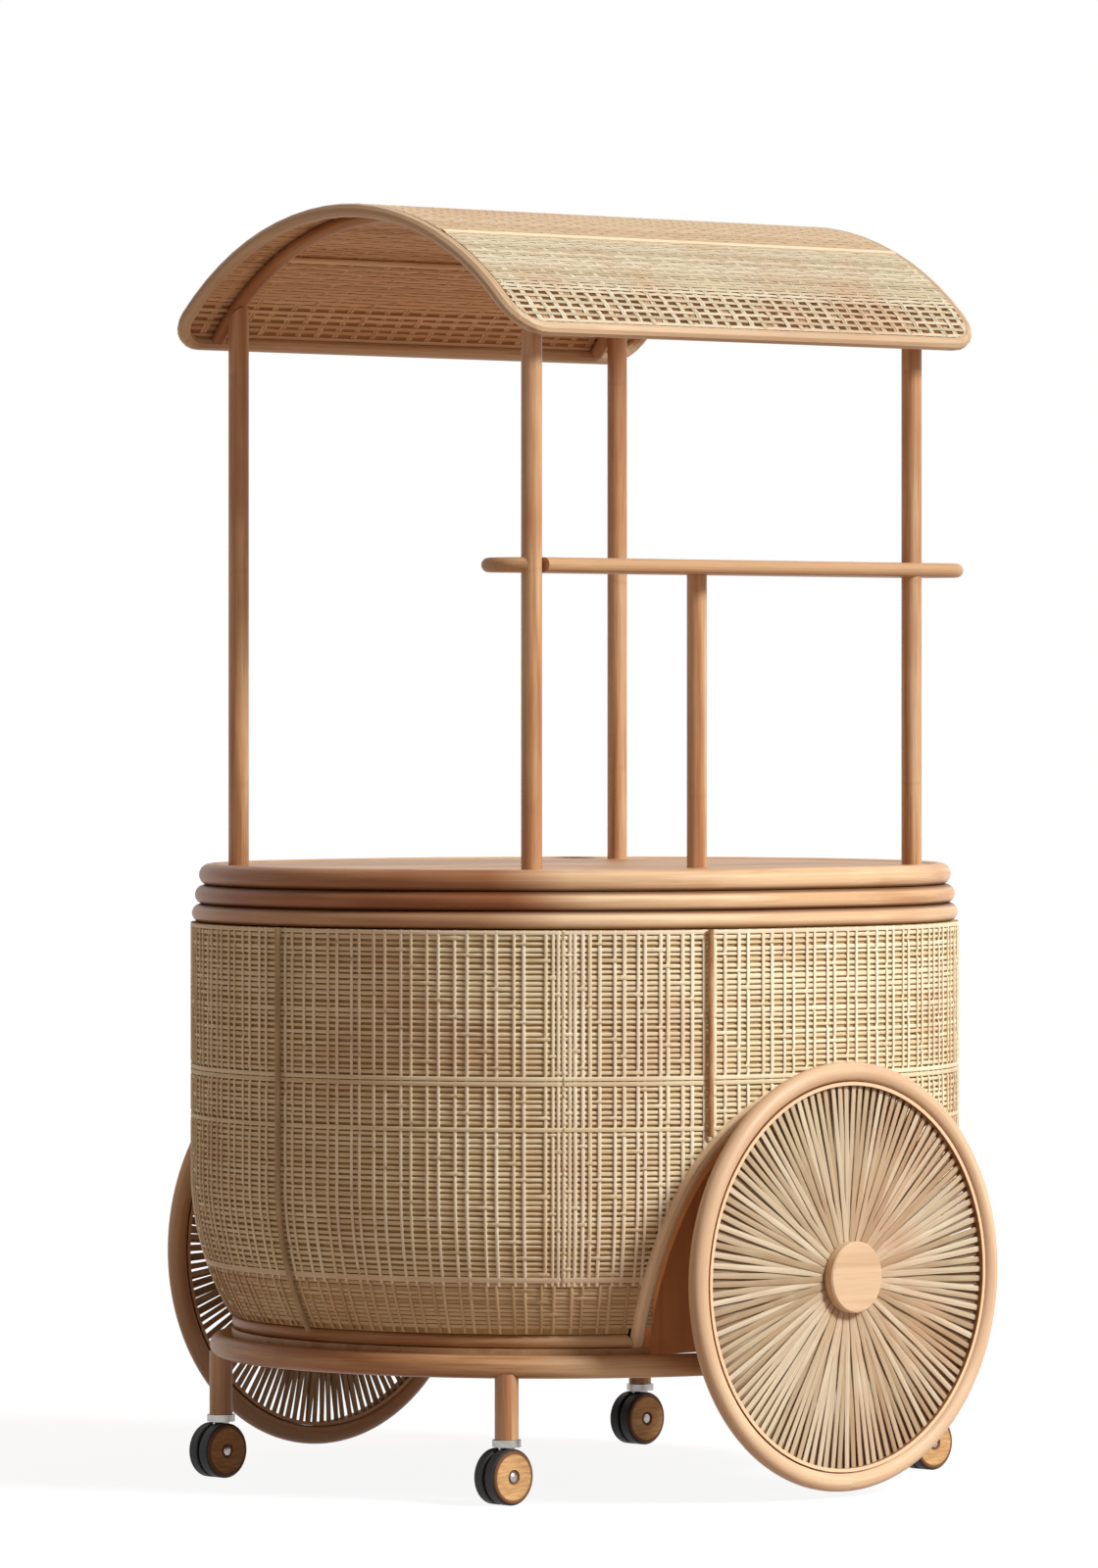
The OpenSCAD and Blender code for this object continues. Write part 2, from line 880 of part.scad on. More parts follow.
// Casters: a steel cup and web that swivel, and two tyres with face discs that roll on a pin
module caster_swivel(x, y) {
    color(steel)
        translate([x, y, 0]) {
            difference() {
                union() {
                    translate([0, 0, cup_z])
                        cylinder(d = cup_d, h = cup_h);
                    translate([-caster_trail, caster_web_t / 2, caster_r])
                        rotate([90, 0, 0])
                            cylinder(r = web_r, h = caster_web_t);
                    translate([-neck_w / 2, -caster_web_t / 2, caster_r])
                        cube([neck_w, caster_web_t, cup_z + cup_h / 2 - caster_r]);
                }
                translate([-caster_trail, caster_web_t, caster_r])
                    rotate([90, 0, 0])
                        cylinder(d = pin_d + 2 * running, h = 2 * caster_web_t);
            }
            translate([0, 0, cup_z + cup_h / 2])
                cylinder(d = stem_d, h = cup_h / 2 + fit + stem_len);
        }
}

// Places a shape drawn round its own axis at each side of a caster's wheel
module caster_wheel_sides(x, y) {
    for (turn = [90, -90])
        translate([x - caster_trail, y, caster_r])
            rotate([turn, 0, 0])
                children();
}

module caster_tyres(x, y) {
    pin_hole = pin_d / 2 + running;
    seat = disc_d / 2 + fit;
    color(rubber)
        caster_wheel_sides(x, y)
            rotate_extrude($fn = 64)
                polygon([
                    [pin_hole, tyre_in],
                    [caster_r - tyre_edge / 2, tyre_in],
                    [caster_r, tyre_in + tyre_edge / 2],
                    [caster_r, tyre_out - tyre_edge / 2],
                    [max(caster_r - tyre_edge / 2, seat + 0.5), tyre_out],
                    [seat, tyre_out],
                    [seat, disc_in - fit],
                    [pin_hole, disc_in - fit]
                ]);
}

module caster_discs(x, y) {
    pin_hole = pin_d / 2 + running;
    color(wood)
        caster_wheel_sides(x, y)
            rotate_extrude($fn = 64)
                polygon([
                    [pin_hole, disc_in],
                    [disc_d / 2, disc_in],
                    [disc_d / 2, disc_out - 1.5],
                    [disc_d / 2 - 1.5, disc_out],
                    [dish_d / 2, disc_out],
                    [dish_d / 2 - 1, disc_out - dish_depth],
                    [pin_hole, disc_out - dish_depth]
                ]);
}

module caster_pin(x, y) {
    head_in = disc_out - dish_depth + fit;
    head_t = dish_depth;
    color(steel) {
        caster_wheel_sides(x, y)
            rotate_extrude($fn = 48)
                polygon([
                    [0, 0],
                    [pin_d / 2, 0],
                    [pin_d / 2, head_in],
                    [pin_head_d / 2, head_in],
                    [pin_head_d / 2, head_in + head_t / 2],
                    [pin_head_d / 4, head_in + head_t],
                    [0, head_in + head_t]
                ]);
    }
}

module caster_near_left_swivel() {
    caster_swivel(-leg_x, -leg_y);
}

module caster_near_left_tyres() {
    caster_tyres(-leg_x, -leg_y);
}

module caster_near_left_discs() {
    caster_discs(-leg_x, -leg_y);
}

module caster_near_left_pin() {
    caster_pin(-leg_x, -leg_y);
}

module caster_near_right_swivel() {
    caster_swivel(leg_x, -leg_y);
}

module caster_near_right_tyres() {
    caster_tyres(leg_x, -leg_y);
}

module caster_near_right_discs() {
    caster_discs(leg_x, -leg_y);
}

module caster_near_right_pin() {
    caster_pin(leg_x, -leg_y);
}

module caster_far_left_swivel() {
    caster_swivel(-leg_x, leg_y);
}

module caster_far_left_tyres() {
    caster_tyres(-leg_x, leg_y);
}

module caster_far_left_discs() {
    caster_discs(-leg_x, leg_y);
}

module caster_far_left_pin() {
    caster_pin(-leg_x, leg_y);
}

module caster_far_right_swivel() {
    caster_swivel(leg_x, leg_y);
}

module caster_far_right_tyres() {
    caster_tyres(leg_x, leg_y);
}

module caster_far_right_discs() {
    caster_discs(leg_x, leg_y);
}

module caster_far_right_pin() {
    caster_pin(leg_x, leg_y);
}

// Side wheels, drawn with the outer face up and stood against the near or far side
module wheel_place(side) {
    at_side(side)
        translate([0, -wheel_y, axle_z])
            rotate([90, 0, 0])
                children();
}

module wheel_rim(side) {
    color(pole)
        wheel_place(side)
            rotate_extrude($fn = 128)
                translate([wheel_r - wheel_rim_d / 2, 0])
                    circle(d = wheel_rim_d, $fn = 40);
}

module wheel_hoop(side) {
    color(cane)
        wheel_place(side)
            rotate_extrude($fn = 128)
                translate([hoop_out_r - hoop_t, -hoop_w / 2])
                    square([hoop_t, hoop_w]);
}

// Straight spokes in three layers that leave the hub barrel and meet in one line at the hoop
module wheel_spokes(side) {
    color(cane)
        wheel_place(side)
            difference() {
                union() {
                    translate([0, 0, -hub_in])
                        cylinder(r = hub_r, h = hub_in + hub_out, $fn = 64);
                    for (i = [0 : spoke_count - 1])
                        rotate([0, 0, 360 * i / spoke_count])
                            spoke(i % 3 - 1);
                }
                translate([0, 0, -hub_in - past])
                    cylinder(d = axle_d + 2 * running, h = hub_in + hub_out + 2 * past);
            }
}

module spoke(layer) {
    start = hub_r - hub_bite;
    length = spoke_end_r - start;
    translate([spoke_end_r, 0, 0])
        rotate([0, layer * spoke_tilt, 0])
            rotate([0, -90, 0])
                cylinder(d = spoke_d, h = length, $fn = 16);
}

module wheel_cap(side) {
    recess_r = axle_nut_d / 2 + nut_gap;
    recess_h = axle_nut_t + 2 * nut_gap;
    color(wood)
        wheel_place(side)
            translate([0, 0, hub_out + fit])
                rotate_extrude($fn = 96)
                    polygon([
                        [0, recess_h],
                        [recess_r, recess_h],
                        [recess_r, 0],
                        [hub_cap_d / 2, 0],
                        [hub_cap_d / 2, hub_cap_t - cap_edge],
                        [hub_cap_d / 2 - cap_edge, hub_cap_t],
                        [0, hub_cap_t]
                    ]);
}

module wheel_near_rim() {
    wheel_rim(-1);
}

module wheel_near_hoop() {
    wheel_hoop(-1);
}

module wheel_near_spokes() {
    wheel_spokes(-1);
}

module wheel_near_cap() {
    wheel_cap(-1);
}

module wheel_far_rim() {
    wheel_rim(1);
}

module wheel_far_hoop() {
    wheel_hoop(1);
}

module wheel_far_spokes() {
    wheel_spokes(1);
}

module wheel_far_cap() {
    wheel_cap(1);
}

worktop_panel();
worktop_ring();
upper_collar();
lower_collar();
drum_cane();
drum_liner();
seam_poles();
frame_uprights();
base_panel();
bottom_ring();
base_ring();
base_bearers();
arch_pole_near();
arch_pole_far();
wheel_well_near();
wheel_well_far();
axle();
axle_blocks();
axle_spacers();
axle_nuts();
leg_near_left();
leg_near_right();
leg_far_left();
leg_far_right();
post_near_left();
post_near_right();
post_far_left();
post_far_right();
shelf_board();
shelf_post();
canopy_cane();
canopy_rim();
canopy_rib_left();
canopy_rib_right();
canopy_purlins();
caster_near_left_swivel();
caster_near_left_tyres();
caster_near_left_discs();
caster_near_left_pin();
caster_near_right_swivel();
caster_near_right_tyres();
caster_near_right_discs();
caster_near_right_pin();
caster_far_left_swivel();
caster_far_left_tyres();
caster_far_left_discs();
caster_far_left_pin();
caster_far_right_swivel();
caster_far_right_tyres();
caster_far_right_discs();
caster_far_right_pin();
wheel_near_rim();
wheel_near_hoop();
wheel_near_spokes();
wheel_near_cap();
wheel_far_rim();
wheel_far_hoop();
wheel_far_spokes();
wheel_far_cap();
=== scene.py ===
"""Looks of the rattan serving cart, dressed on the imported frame. Metres, near side at -Y, up along +Z."""
import math

import bpy
import numpy as np
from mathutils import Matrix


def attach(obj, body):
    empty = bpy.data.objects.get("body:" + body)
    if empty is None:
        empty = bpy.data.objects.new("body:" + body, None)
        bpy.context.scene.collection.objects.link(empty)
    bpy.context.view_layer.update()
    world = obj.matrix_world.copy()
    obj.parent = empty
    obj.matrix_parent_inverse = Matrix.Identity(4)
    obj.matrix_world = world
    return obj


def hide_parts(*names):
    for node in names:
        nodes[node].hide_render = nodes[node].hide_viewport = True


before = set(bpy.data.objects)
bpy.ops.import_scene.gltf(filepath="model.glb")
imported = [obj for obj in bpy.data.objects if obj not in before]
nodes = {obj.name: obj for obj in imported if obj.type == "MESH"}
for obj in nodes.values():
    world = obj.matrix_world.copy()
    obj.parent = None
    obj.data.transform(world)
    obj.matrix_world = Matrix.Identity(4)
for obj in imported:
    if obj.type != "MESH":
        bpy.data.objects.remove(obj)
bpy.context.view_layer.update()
draw = np.random.default_rng(41)

# Sizes of the cart that the dressing follows
PLAN_HALF = 0.060
DRUM_R = 0.523
DRUM_TOP = 0.8145
DRUM_FOOT = 0.2405
TAPER_TOP = 0.4499
TAPER_ARC = 0.4092
AXLE_Z = 0.316
WHEEL_Y = 0.560
ARCH_CUT = 0.2845
VAULT_Z = 1.3695
RIM_TURN = math.radians(51.5)
RIM_R = 0.4755
RIM_HALF_LEN = 0.4625
RIM_CORNER = 0.050
CANE_OUT = 0.4855
CANE_IN = 0.4805
LINING_R = 0.4829
CASTER_R = 0.040
CASTER_X = (-0.4322, 0.4202)
BORE_R = 0.00815
LAP = 2 * math.pi * DRUM_R + 4 * PLAN_HALF

# The camera, in pixels of the view it was fitted to, and its sensor in millimetres
FRAME_PX = 1600
FOCAL_PX = 9055
SHIFT_PX = -87
SENSOR = 36

# The sides that the sun and the world's warm light come from
SUN_SIDE = (0.34, -0.93, 0.70)
WARM_SIDE = (0.80, 0.12, 0.58)

# Radii that measure the way along the poles of a wheel and of the vault
WHEEL_COURSE_R = 0.28
VAULT_COURSE_R = 0.47

# Where painted shade and a warmer tone come in, in metres, as (none, full): painted shade fading out on a ring's
# far side, and off a crease; a warmer tone up the canopy's crown; and painted shade out along a spoke behind
FAR_FADE = (-1.55, -1.25)
CREASE_SHADE = (0.0060, 0.0012)
CROWN_Z = (1.802, 1.814)
SHADE_R = (0.215, 0.265)

# Half the blur at the edges of a ring's painted shade and highlight, and the way from knot to knot along a pole
SHADE_BLUR = 0.06
KNOT_PITCH = 0.31

# The drum's weave: how deep its strands lie, their width and thickness, and how they are spaced
FACE_DEPTH = 0.0004
WARP_DIP = 0.0019
WARP_WIDTH = 0.0050
WARP_THICK = 0.0016
WEFT_OVER = 0.0004
WEFT_UNDER = 0.0024
WEFT_END = 0.0022
WEFT_THICK = 0.0013
PAIR_GAPS = (0.0165, 0.0250)
BROAD_GROUP = np.array([0.0, 0.0078, 0.0160, 0.0262])
BROAD_MARGIN = 0.037
PLAIN_MARGINS = (0.009, 0.008)
CORNER_CLOSE = 0.80
OVER_EVERY = 14
FOOT_TOP = 0.312
OFF_ARCH = 9.0

# Any strand: half its width in UV, the area of a face drawn in to nothing, and a width to judge long faces by
UV_HALF = 0.46
SLIVER = 2e-8
STRAND_WIDTH = 0.0045

# The canopy's weave, with open rows along its eaves and close ones over its crown
EAVE_EDGE = 0.0030
EAVE_PITCH = 0.0122
EAVE_ROWS = 6
LONE_GAPS = (0.0082, 0.0160)
CROWN_GAP = 0.0072
CROWN_PITCH = 0.0058
CANOPY_OVER = 0.0002
CANOPY_UNDER = 0.0014
CANOPY_MIDDLE = 0.0007
CANOPY_END = 0.0008
CANOPY_THICK = 0.0009

# The wheels' flat spokes, and the barrel that they start from
SPOKES = 120
SPOKE_START = 0.0455
SPOKE_END = 0.2738
SPOKE_THICK = 0.0012
BARREL_R = 0.046
BARREL_LEN = 0.0202
BARREL_INSET = 0.00095


# Camera, light and floor

def set_camera():
    """Looks level at the cart from the near left, as the fitted camera does."""
    azimuth = math.radians(-43.26)
    distance, aside, height = 13.091, 0.0398, 1.142
    data = bpy.data.cameras.new("view")
    data.lens = FOCAL_PX * SENSOR / FRAME_PX
    data.shift_y = SHIFT_PX / FRAME_PX
    data.clip_start, data.clip_end = 0.1, 200
    camera = bpy.data.objects.new("view", data)
    bpy.context.collection.objects.link(camera)
    back = (math.sin(azimuth), -math.cos(azimuth))
    right = (math.cos(azimuth), math.sin(azimuth))
    camera.location = (
        distance * back[0] - aside * right[0],
        distance * back[1] - aside * right[1],
        height,
    )
    camera.rotation_euler = (math.pi / 2, 0, azimuth)
    bpy.context.scene.camera = camera


def set_light():
    """One soft sun, and a warm world that is stronger towards one side. The view itself shows plain white."""
    data = bpy.data.lights.new("key", "SUN")
    data.energy = 3.65
    data.angle = math.radians(17)
    data.color = (0.98, 1.01, 1.035)
    key = bpy.data.objects.new("key", data)
    bpy.context.collection.objects.link(key)
    x, y, z = SUN_SIDE
    key.rotation_euler = (math.atan2(math.hypot(x, y), z), 0, math.atan2(y, x) + math.pi / 2)
    world = bpy.data.worlds.new("studio")
    bpy.context.scene.world = world
    world.use_nodes = True
    tree = world.node_tree
    shown = tree.nodes["Background"]
    shown.inputs["Color"].default_value = (1, 1, 1, 1)
    shown.inputs["Strength"].default_value = 1.0
    soft = tree.nodes.new("ShaderNodeBackground")
    soft.inputs["Color"].default_value = (1.0, 0.72, 0.58, 1)
    facing = tree.nodes.new("ShaderNodeVectorMath")
    facing.operation = "DOT_PRODUCT"
    facing.inputs[1].default_value = WARM_SIDE
    tree.links.new(tree.nodes.new("ShaderNodeTexCoord").outputs["Generated"], facing.inputs[0])
    strength = tree.nodes.new("ShaderNodeMapRange")
    strength.inputs["From Min"].default_value = -1
    strength.inputs["To Min"].default_value = 0.025
    strength.inputs["To Max"].default_value = 0.46
    tree.links.new(facing.outputs["Value"], strength.inputs["Value"])
    tree.links.new(strength.outputs[0], soft.inputs["Strength"])
    show(tree, shown, soft, "World Output")


def show(tree, shown, lighting, output):
    """Puts one shader in the view and in what glossy and clear things show, and the other in all other light."""
    path = tree.nodes.new("ShaderNodeLightPath")
    seen = add_up(tree, [path.outputs[k] for k in ("Is Camera Ray", "Is Glossy Ray", "Is Transmission Ray")])
    mix = tree.nodes.new("ShaderNodeMixShader")
    tree.links.new(seen, mix.inputs[0])
    tree.links.new(lighting.outputs[0], mix.inputs[1])
    tree.links.new(shown.outputs[0], mix.inputs[2])
    tree.links.new(mix.outputs[0], tree.nodes[output].inputs["Surface"])


def add_up(tree, sockets):
    """The sum of some sockets, 1 at most."""
    total = sockets[0]
    for other in sockets[1:]:
        node = tree.nodes.new("ShaderNodeMath")
        node.operation = "ADD"
        node.use_clamp = True
        tree.links.new(total, node.inputs[0])
        tree.links.new(other, node.inputs[1])
        total = node.outputs[0]
    return total


def lay_floor():
    """White floor with soft shadows in the view, which sends warm light up to the cart."""
    bpy.ops.object.select_all(action="DESELECT")
    bpy.ops.mesh.primitive_plane_add(size=120, location=(0, 0, 0))
    floor = bpy.context.active_object
    floor.name = "floor"
    mat = bpy.data.materials.new("pale floor")
    mat.use_nodes = True
    tree = mat.node_tree
    bounce = tree.nodes["Principled BSDF"]
    bounce.inputs["Base Color"].default_value = (0.44, 0.35, 0.29, 1)
    bounce.inputs["Roughness"].default_value = 0.9
    pale = tree.nodes.new("ShaderNodeBsdfDiffuse")
    pale.inputs["Color"].default_value = (0.13, 0.13, 0.13, 1)
    white = tree.nodes.new("ShaderNodeEmission")
    white.inputs["Strength"].default_value = 0.91
    both = tree.nodes.new("ShaderNodeAddShader")
    tree.links.new(pale.outputs[0], both.inputs[0])
    tree.links.new(white.outputs[0], both.inputs[1])
    show(tree, both, bounce, "Material Output")
    floor.data.materials.append(mat)


# Finishes

def tone(red, green, blue):
    """A colour given in steps of 0 to 255, as the shader takes it."""
    linear = [((c / 255 + 0.055) / 1.055) ** 2.4 for c in (red, green, blue)]
    return (*linear, 1)


class Finish:
    """A material and the short calls that wire its nodes."""

    def __init__(self, name):
        self.mat = bpy.data.materials.new(name)
        self.mat.use_nodes = True
        self.tree = self.mat.node_tree
        self.shader = self.tree.nodes["Principled BSDF"]

    def add(self, kind, *inputs, **settings):
        """A new node, with its inputs fed in order and its settings set."""
        node = self.tree.nodes.new("ShaderNode" + kind)
        for key, value in settings.items():
            setattr(node, key, value)
        for i, value in enumerate(inputs):
            self.feed(node.inputs[i], value)
        return node

    def feed(self, socket, value):
        """Links a socket to another, or gives it a value. None leaves it as it is."""
        if value is None:
            return
        if isinstance(value, bpy.types.NodeSocket):
            self.tree.links.new(value, socket)
        else:
            socket.default_value = value

    def math(self, operation, a, b=None):
        return self.add("Math", a, b, operation=operation).outputs[0]

    def length(self, a, b):
        """The length of the straight way over a one way and b the other."""
        return self.math("SQRT", self.math("ADD", self.math("POWER", a, 2.0), self.math("POWER", b, 2.0)))

    def place(self):
        return self.add("TexCoord").outputs["Object"]

    def split(self, vector):
        return self.add("SeparateXYZ", vector).outputs

    def join(self, x, y, z):
        return self.add("CombineXYZ", x, y, z).outputs[0]

    def noise(self, vector, scale, detail=3.0, rough=0.5):
        node = self.add("TexNoise", vector)
        node.inputs["Scale"].default_value = scale
        node.inputs["Detail"].default_value = detail
        node.inputs["Roughness"].default_value = rough
        return node.outputs["Fac"]

    def ramp(self, factor, *stops):
        """A colour that runs through (place, colour) stops."""
        node = self.add("ValToRGB", factor)
        ramp = node.color_ramp
        while len(ramp.elements) < len(stops):
            ramp.elements.new(0.5)
        for element, (at, colour) in zip(ramp.elements, stops):
            element.position = at
            element.color = colour
        return node.outputs["Color"]

    def grey(self, factor, low, high):
        """A share that is 0 at low and 1 at high, and stays within 0 and 1."""
        node = self.add("MapRange", factor)
        node.inputs["From Min"].default_value, node.inputs["From Max"].default_value = low, high
        return node.outputs[0]

    def blend(self, factor, a, b, mode="MIX"):
        """From colour a to colour b. The numbers are the node's colour sockets."""
        node = self.add("Mix", data_type="RGBA", blend_type=mode)
        self.feed(node.inputs[0], factor)
        self.feed(node.inputs[6], a)
        self.feed(node.inputs[7], b)
        return node.outputs[2]

    def finish(self, colour, rough, height=None, bump=0.2, depth=0.0004, coat=0.0, specular=0.4):
        """Feeds the shader and returns the material. Height is bumped by up to depth, in metres."""
        self.feed(self.shader.inputs["Base Color"], colour)
        self.feed(self.shader.inputs["Roughness"], rough)
        self.shader.inputs["Specular IOR Level"].default_value = specular
        self.shader.inputs["Coat Weight"].default_value = coat
        self.shader.inputs["Coat Roughness"].default_value = 0.35
        if height is not None:
            node = self.add("Bump")
            node.inputs["Strength"].default_value = bump
            node.inputs["Distance"].default_value = depth
            self.feed(node.inputs["Height"], height)
            self.feed(self.shader.inputs["Normal"], node.outputs[0])
        return self.mat


def along_pole(f, course):
    """Coordinates across, across and along a pole that runs on that course, in metres: along an axis, round the
    drum's oval, round the axle, over the vault, or round the canopy's rim."""
    x, y, z = f.split(f.place())
    if course in "xyz":
        order = {"x": (y, z, x), "y": (x, z, y), "z": (x, y, z)}[course]
        return f.join(*order)
    if course == "oval":
        reach = f.math("SUBTRACT", x, f.math("MINIMUM", f.math("MAXIMUM", x, -PLAN_HALF), PLAN_HALF))
        turn = f.math("MULTIPLY", f.math("ARCTAN2", reach, f.math("MULTIPLY", y, -1.0)), DRUM_R)
        return f.join(f.length(reach, y), z, turn)
    side, height, radius = (x, AXLE_Z, WHEEL_COURSE_R) if course == "axle" else (y, VAULT_Z, VAULT_COURSE_R)
    rise = f.math("SUBTRACT", z, height)
    turn = f.math("MULTIPLY", f.math("ARCTAN2", side, rise), radius)
    reach = f.length(side, rise)
    if course == "rim":
        on_arc = f.math("GREATER_THAN", f.math("ABSOLUTE", x), RIM_HALF_LEN - 0.040)
        straight = f.math("SUBTRACT", 1.0, on_arc)
        aside = f.math("ADD", f.math("MULTIPLY", x, on_arc), f.math("MULTIPLY", turn, straight))
        return f.join(reach, aside, f.math("ADD", turn, x))
    return f.join(reach, y if course == "axle" else x, turn)


def pole_finish(name, course, pale=0.0, knots=0.0, deep=0.0, creases=(), pale_tone=(244, 216, 178), sheen=0.22,
                shade_from=None, brown=0.0):
    """Peeled rattan pole: honey, with redder and paler streaks along it, faint rings at its knots, and painted shade,
    dark brown, in the creases at those heights. A ring's pole gets painted shade, browner, to the left of shade_from,
    as far as its far side, and a painted highlight, paler, just to the right of it."""
    f = Finish(name)
    grain = along_pole(f, course)
    streak = f.add("Mapping", grain)
    streak.inputs["Scale"].default_value = (70, 70, 2.2)
    fibre = f.add("Mapping", grain)
    fibre.inputs["Scale"].default_value = (420, 420, 9)
    slow = f.noise(streak.outputs[0], 1.0, 5.0, 0.6)
    fine = f.noise(fibre.outputs[0], 1.0, 4.0, 0.65)
    patch = f.noise(grain, 4.0, 3.0)
    base = f.ramp(
        slow,
        (0.30, tone(158, 100, 58)),
        (0.42, tone(196, 142, 92)),
        (0.52, tone(222, 178, 130)),
        (0.66, tone(238, 204, 162)),
    )
    warm = f.blend(f.grey(patch, 0.45, 0.64), base, f.blend(0.65, base, tone(184, 120, 70)))
    lined = f.blend(f.grey(fine, 0.50, 0.72), warm, f.blend(0.45, warm, tone(132, 82, 46)))
    light = f.blend(deep, f.blend(pale, lined, tone(*pale_tone)), tone(150, 98, 60))
    _, _, along = f.split(grain)
    # Painted shade to the left of shade_from, fading out on the far side, and a painted highlight just to its right
    if brown:
        left = f.grey(along, shade_from + SHADE_BLUR, shade_from - SHADE_BLUR)
        near = f.math("MULTIPLY", f.grey(along, -SHADE_BLUR, shade_from), f.math("SUBTRACT", 1.0, left))
        light = f.blend(f.math("MULTIPLY", near, 0.45), light, tone(*pale_tone))
        left = f.math("MULTIPLY", left, f.grey(along, *FAR_FADE))
        light = f.blend(f.math("MULTIPLY", left, brown), light, tone(174, 130, 106), "MULTIPLY")
    _, _, z = f.split(f.place())
    # Painted shade, dark brown, in the creases between poles at those heights
    for crease in creases:
        close = f.grey(f.math("ABSOLUTE", f.math("SUBTRACT", z, crease)), *CREASE_SHADE)
        light = f.blend(f.math("MULTIPLY", close, 0.85), light, tone(92, 54, 30))
    step = f.math("FRACT", f.math("ADD", f.math("DIVIDE", along, KNOT_PITCH), f.math("MULTIPLY", patch, 0.5)))
    ring = f.grey(f.math("ABSOLUTE", f.math("SUBTRACT", step, 0.5)), 0.02, 0.004)
    worn = f.blend(f.math("MULTIPLY", ring, knots), light, tone(150, 96, 58))
    height = f.math("ADD", f.math("MULTIPLY", fine, 0.6), f.math("MULTIPLY", ring, -knots))
    rough = f.math("ADD", 0.34, f.math("MULTIPLY", slow, 0.16))
    return f.finish(worn, rough, height, bump=0.3, depth=0.0005, specular=sheen)


def cane_finish(name, light, middle, dark, fibre_tone, patches=0.35, fibre_share=0.42, crown=0.0, stain_and_shade=0.0):
    """Flat cane strand: its own tint, fibres along it, darker edges, a warmer crown on the canopy, and painted shade,
    brown, on the outward side of the spokes behind, deeper towards the rim. The first UV value is the strand's number
    plus the share across it, and the second is the way along it in metres."""
    f = Finish(name)
    strand, along, _ = f.split(f.add("UVMap", uv_map="strand").outputs[0])
    number = f.math("FLOOR", strand)
    across = f.math("FRACT", strand)
    tint = f.add("TexWhiteNoise", noise_dimensions="1D")
    f.feed(tint.inputs["W"], number)
    own = tint.outputs["Value"]
    base = f.ramp(own, (0.05, dark), (0.42, middle), (0.80, light))
    shifted = f.math("ADD", along, f.math("MULTIPLY", own, 37.0))
    fibres = f.noise(f.join(f.math("MULTIPLY", strand, 16.0), f.math("MULTIPLY", shifted, 9.0), own), 1.0, 4.0, 0.6)
    blotch = f.noise(f.join(number, f.math("MULTIPLY", shifted, 16.0), 0.0), 1.0, 2.0)
    toned = f.blend(f.grey(blotch, 0.35, 0.75), base, f.blend(0.5, base, middle))
    cloud = f.noise(f.place(), 4.0, 3.0, 0.6)
    pinker = f.blend(f.math("MULTIPLY", f.grey(cloud, 0.50, 0.66), patches), toned, tone(196, 146, 110))
    greener = f.blend(f.math("MULTIPLY", f.grey(cloud, 0.46, 0.34), patches), pinker, tone(214, 202, 164))
    if crown:
        _, _, z = f.split(f.place())
        greener = f.blend(f.math("MULTIPLY", f.grey(z, *CROWN_Z), crown), greener, tone(213, 167, 126))
    lined = f.blend(f.grey(fibres, 0.45, 0.78), greener, f.blend(fibre_share, greener, fibre_tone))
    edge = f.math("ABSOLUTE", f.math("SUBTRACT", across, 0.5))
    edged = f.blend(f.math("MULTIPLY", f.grey(edge, 0.36, 0.5), 0.3), lined, fibre_tone)
    # Painted shade: the outward side of the spokes behind is browned, more towards the rim, for the shade of the
    # front spokes
    if stain_and_shade:
        _, y, _ = f.split(f.place())
        _, facing, _ = f.split(f.add("TexCoord").outputs["Normal"])
        outward = f.math("GREATER_THAN", f.math("MULTIPLY", y, facing), 0.0)
        by_rim = f.math("ADD", 0.12, f.math("MULTIPLY", f.grey(along, *SHADE_R), 0.78))
        edged = f.blend(f.math("MULTIPLY", f.math("MULTIPLY", outward, stain_and_shade), by_rim), edged, tone(112, 76, 46))
    round_top = f.math("MULTIPLY", f.math("POWER", edge, 2.0), -3.4)
    height = f.math("ADD", round_top, f.math("MULTIPLY", fibres, 0.35))
    return f.finish(edged, 0.55, height, bump=0.45, depth=0.0009, specular=0.14)


def board_finish(name, along, light, dark):
    """Oiled wood with its grain along one axis."""
    f = Finish(name)
    grain = along_pole(f, along)
    stretch = f.add("Mapping", grain)
    stretch.inputs["Scale"].default_value = (26, 26, 1.6)
    rings = f.noise(stretch.outputs[0], 1.0, 5.0, 0.6)
    fine = f.add("Mapping", grain)
    fine.inputs["Scale"].default_value = (420, 420, 10)
    pores = f.noise(fine.outputs[0], 1.0, 2.0)
    base = f.ramp(rings, (0.3, dark), (0.5, light), (0.72, midway(light, dark)))
    lined = f.blend(f.grey(pores, 0.55, 0.75), base, f.blend(0.35, base, dark))
    return f.finish(lined, 0.45, pores, bump=0.15, depth=0.0004, coat=0.04, specular=0.2)


def midway(light, dark):
    """The colour between two."""
    return tuple((a + b) / 2 for a, b in zip(light, dark))


def liner_finish(name, dark, light, underside=None):
    """Lining behind woven cane, blotched at random, in colours that carry painted light and shade, with another
    colour on the underside of the canopy's lining.
    """
    f = Finish(name)
    place = f.place()
    stain_and_shade = f.noise(place, 30.0, 3.0)
    colour = f.ramp(stain_and_shade, (0.3, dark), (0.7, light))
    if underside:
        _, y, z = f.split(place)
        reach = f.length(y, f.math("SUBTRACT", z, VAULT_Z))
        colour = f.blend(f.math("LESS_THAN", reach, LINING_R - 0.0002), colour, underside)
    return f.finish(colour, 0.8, stain_and_shade, bump=0.2, depth=0.001, specular=0.06)


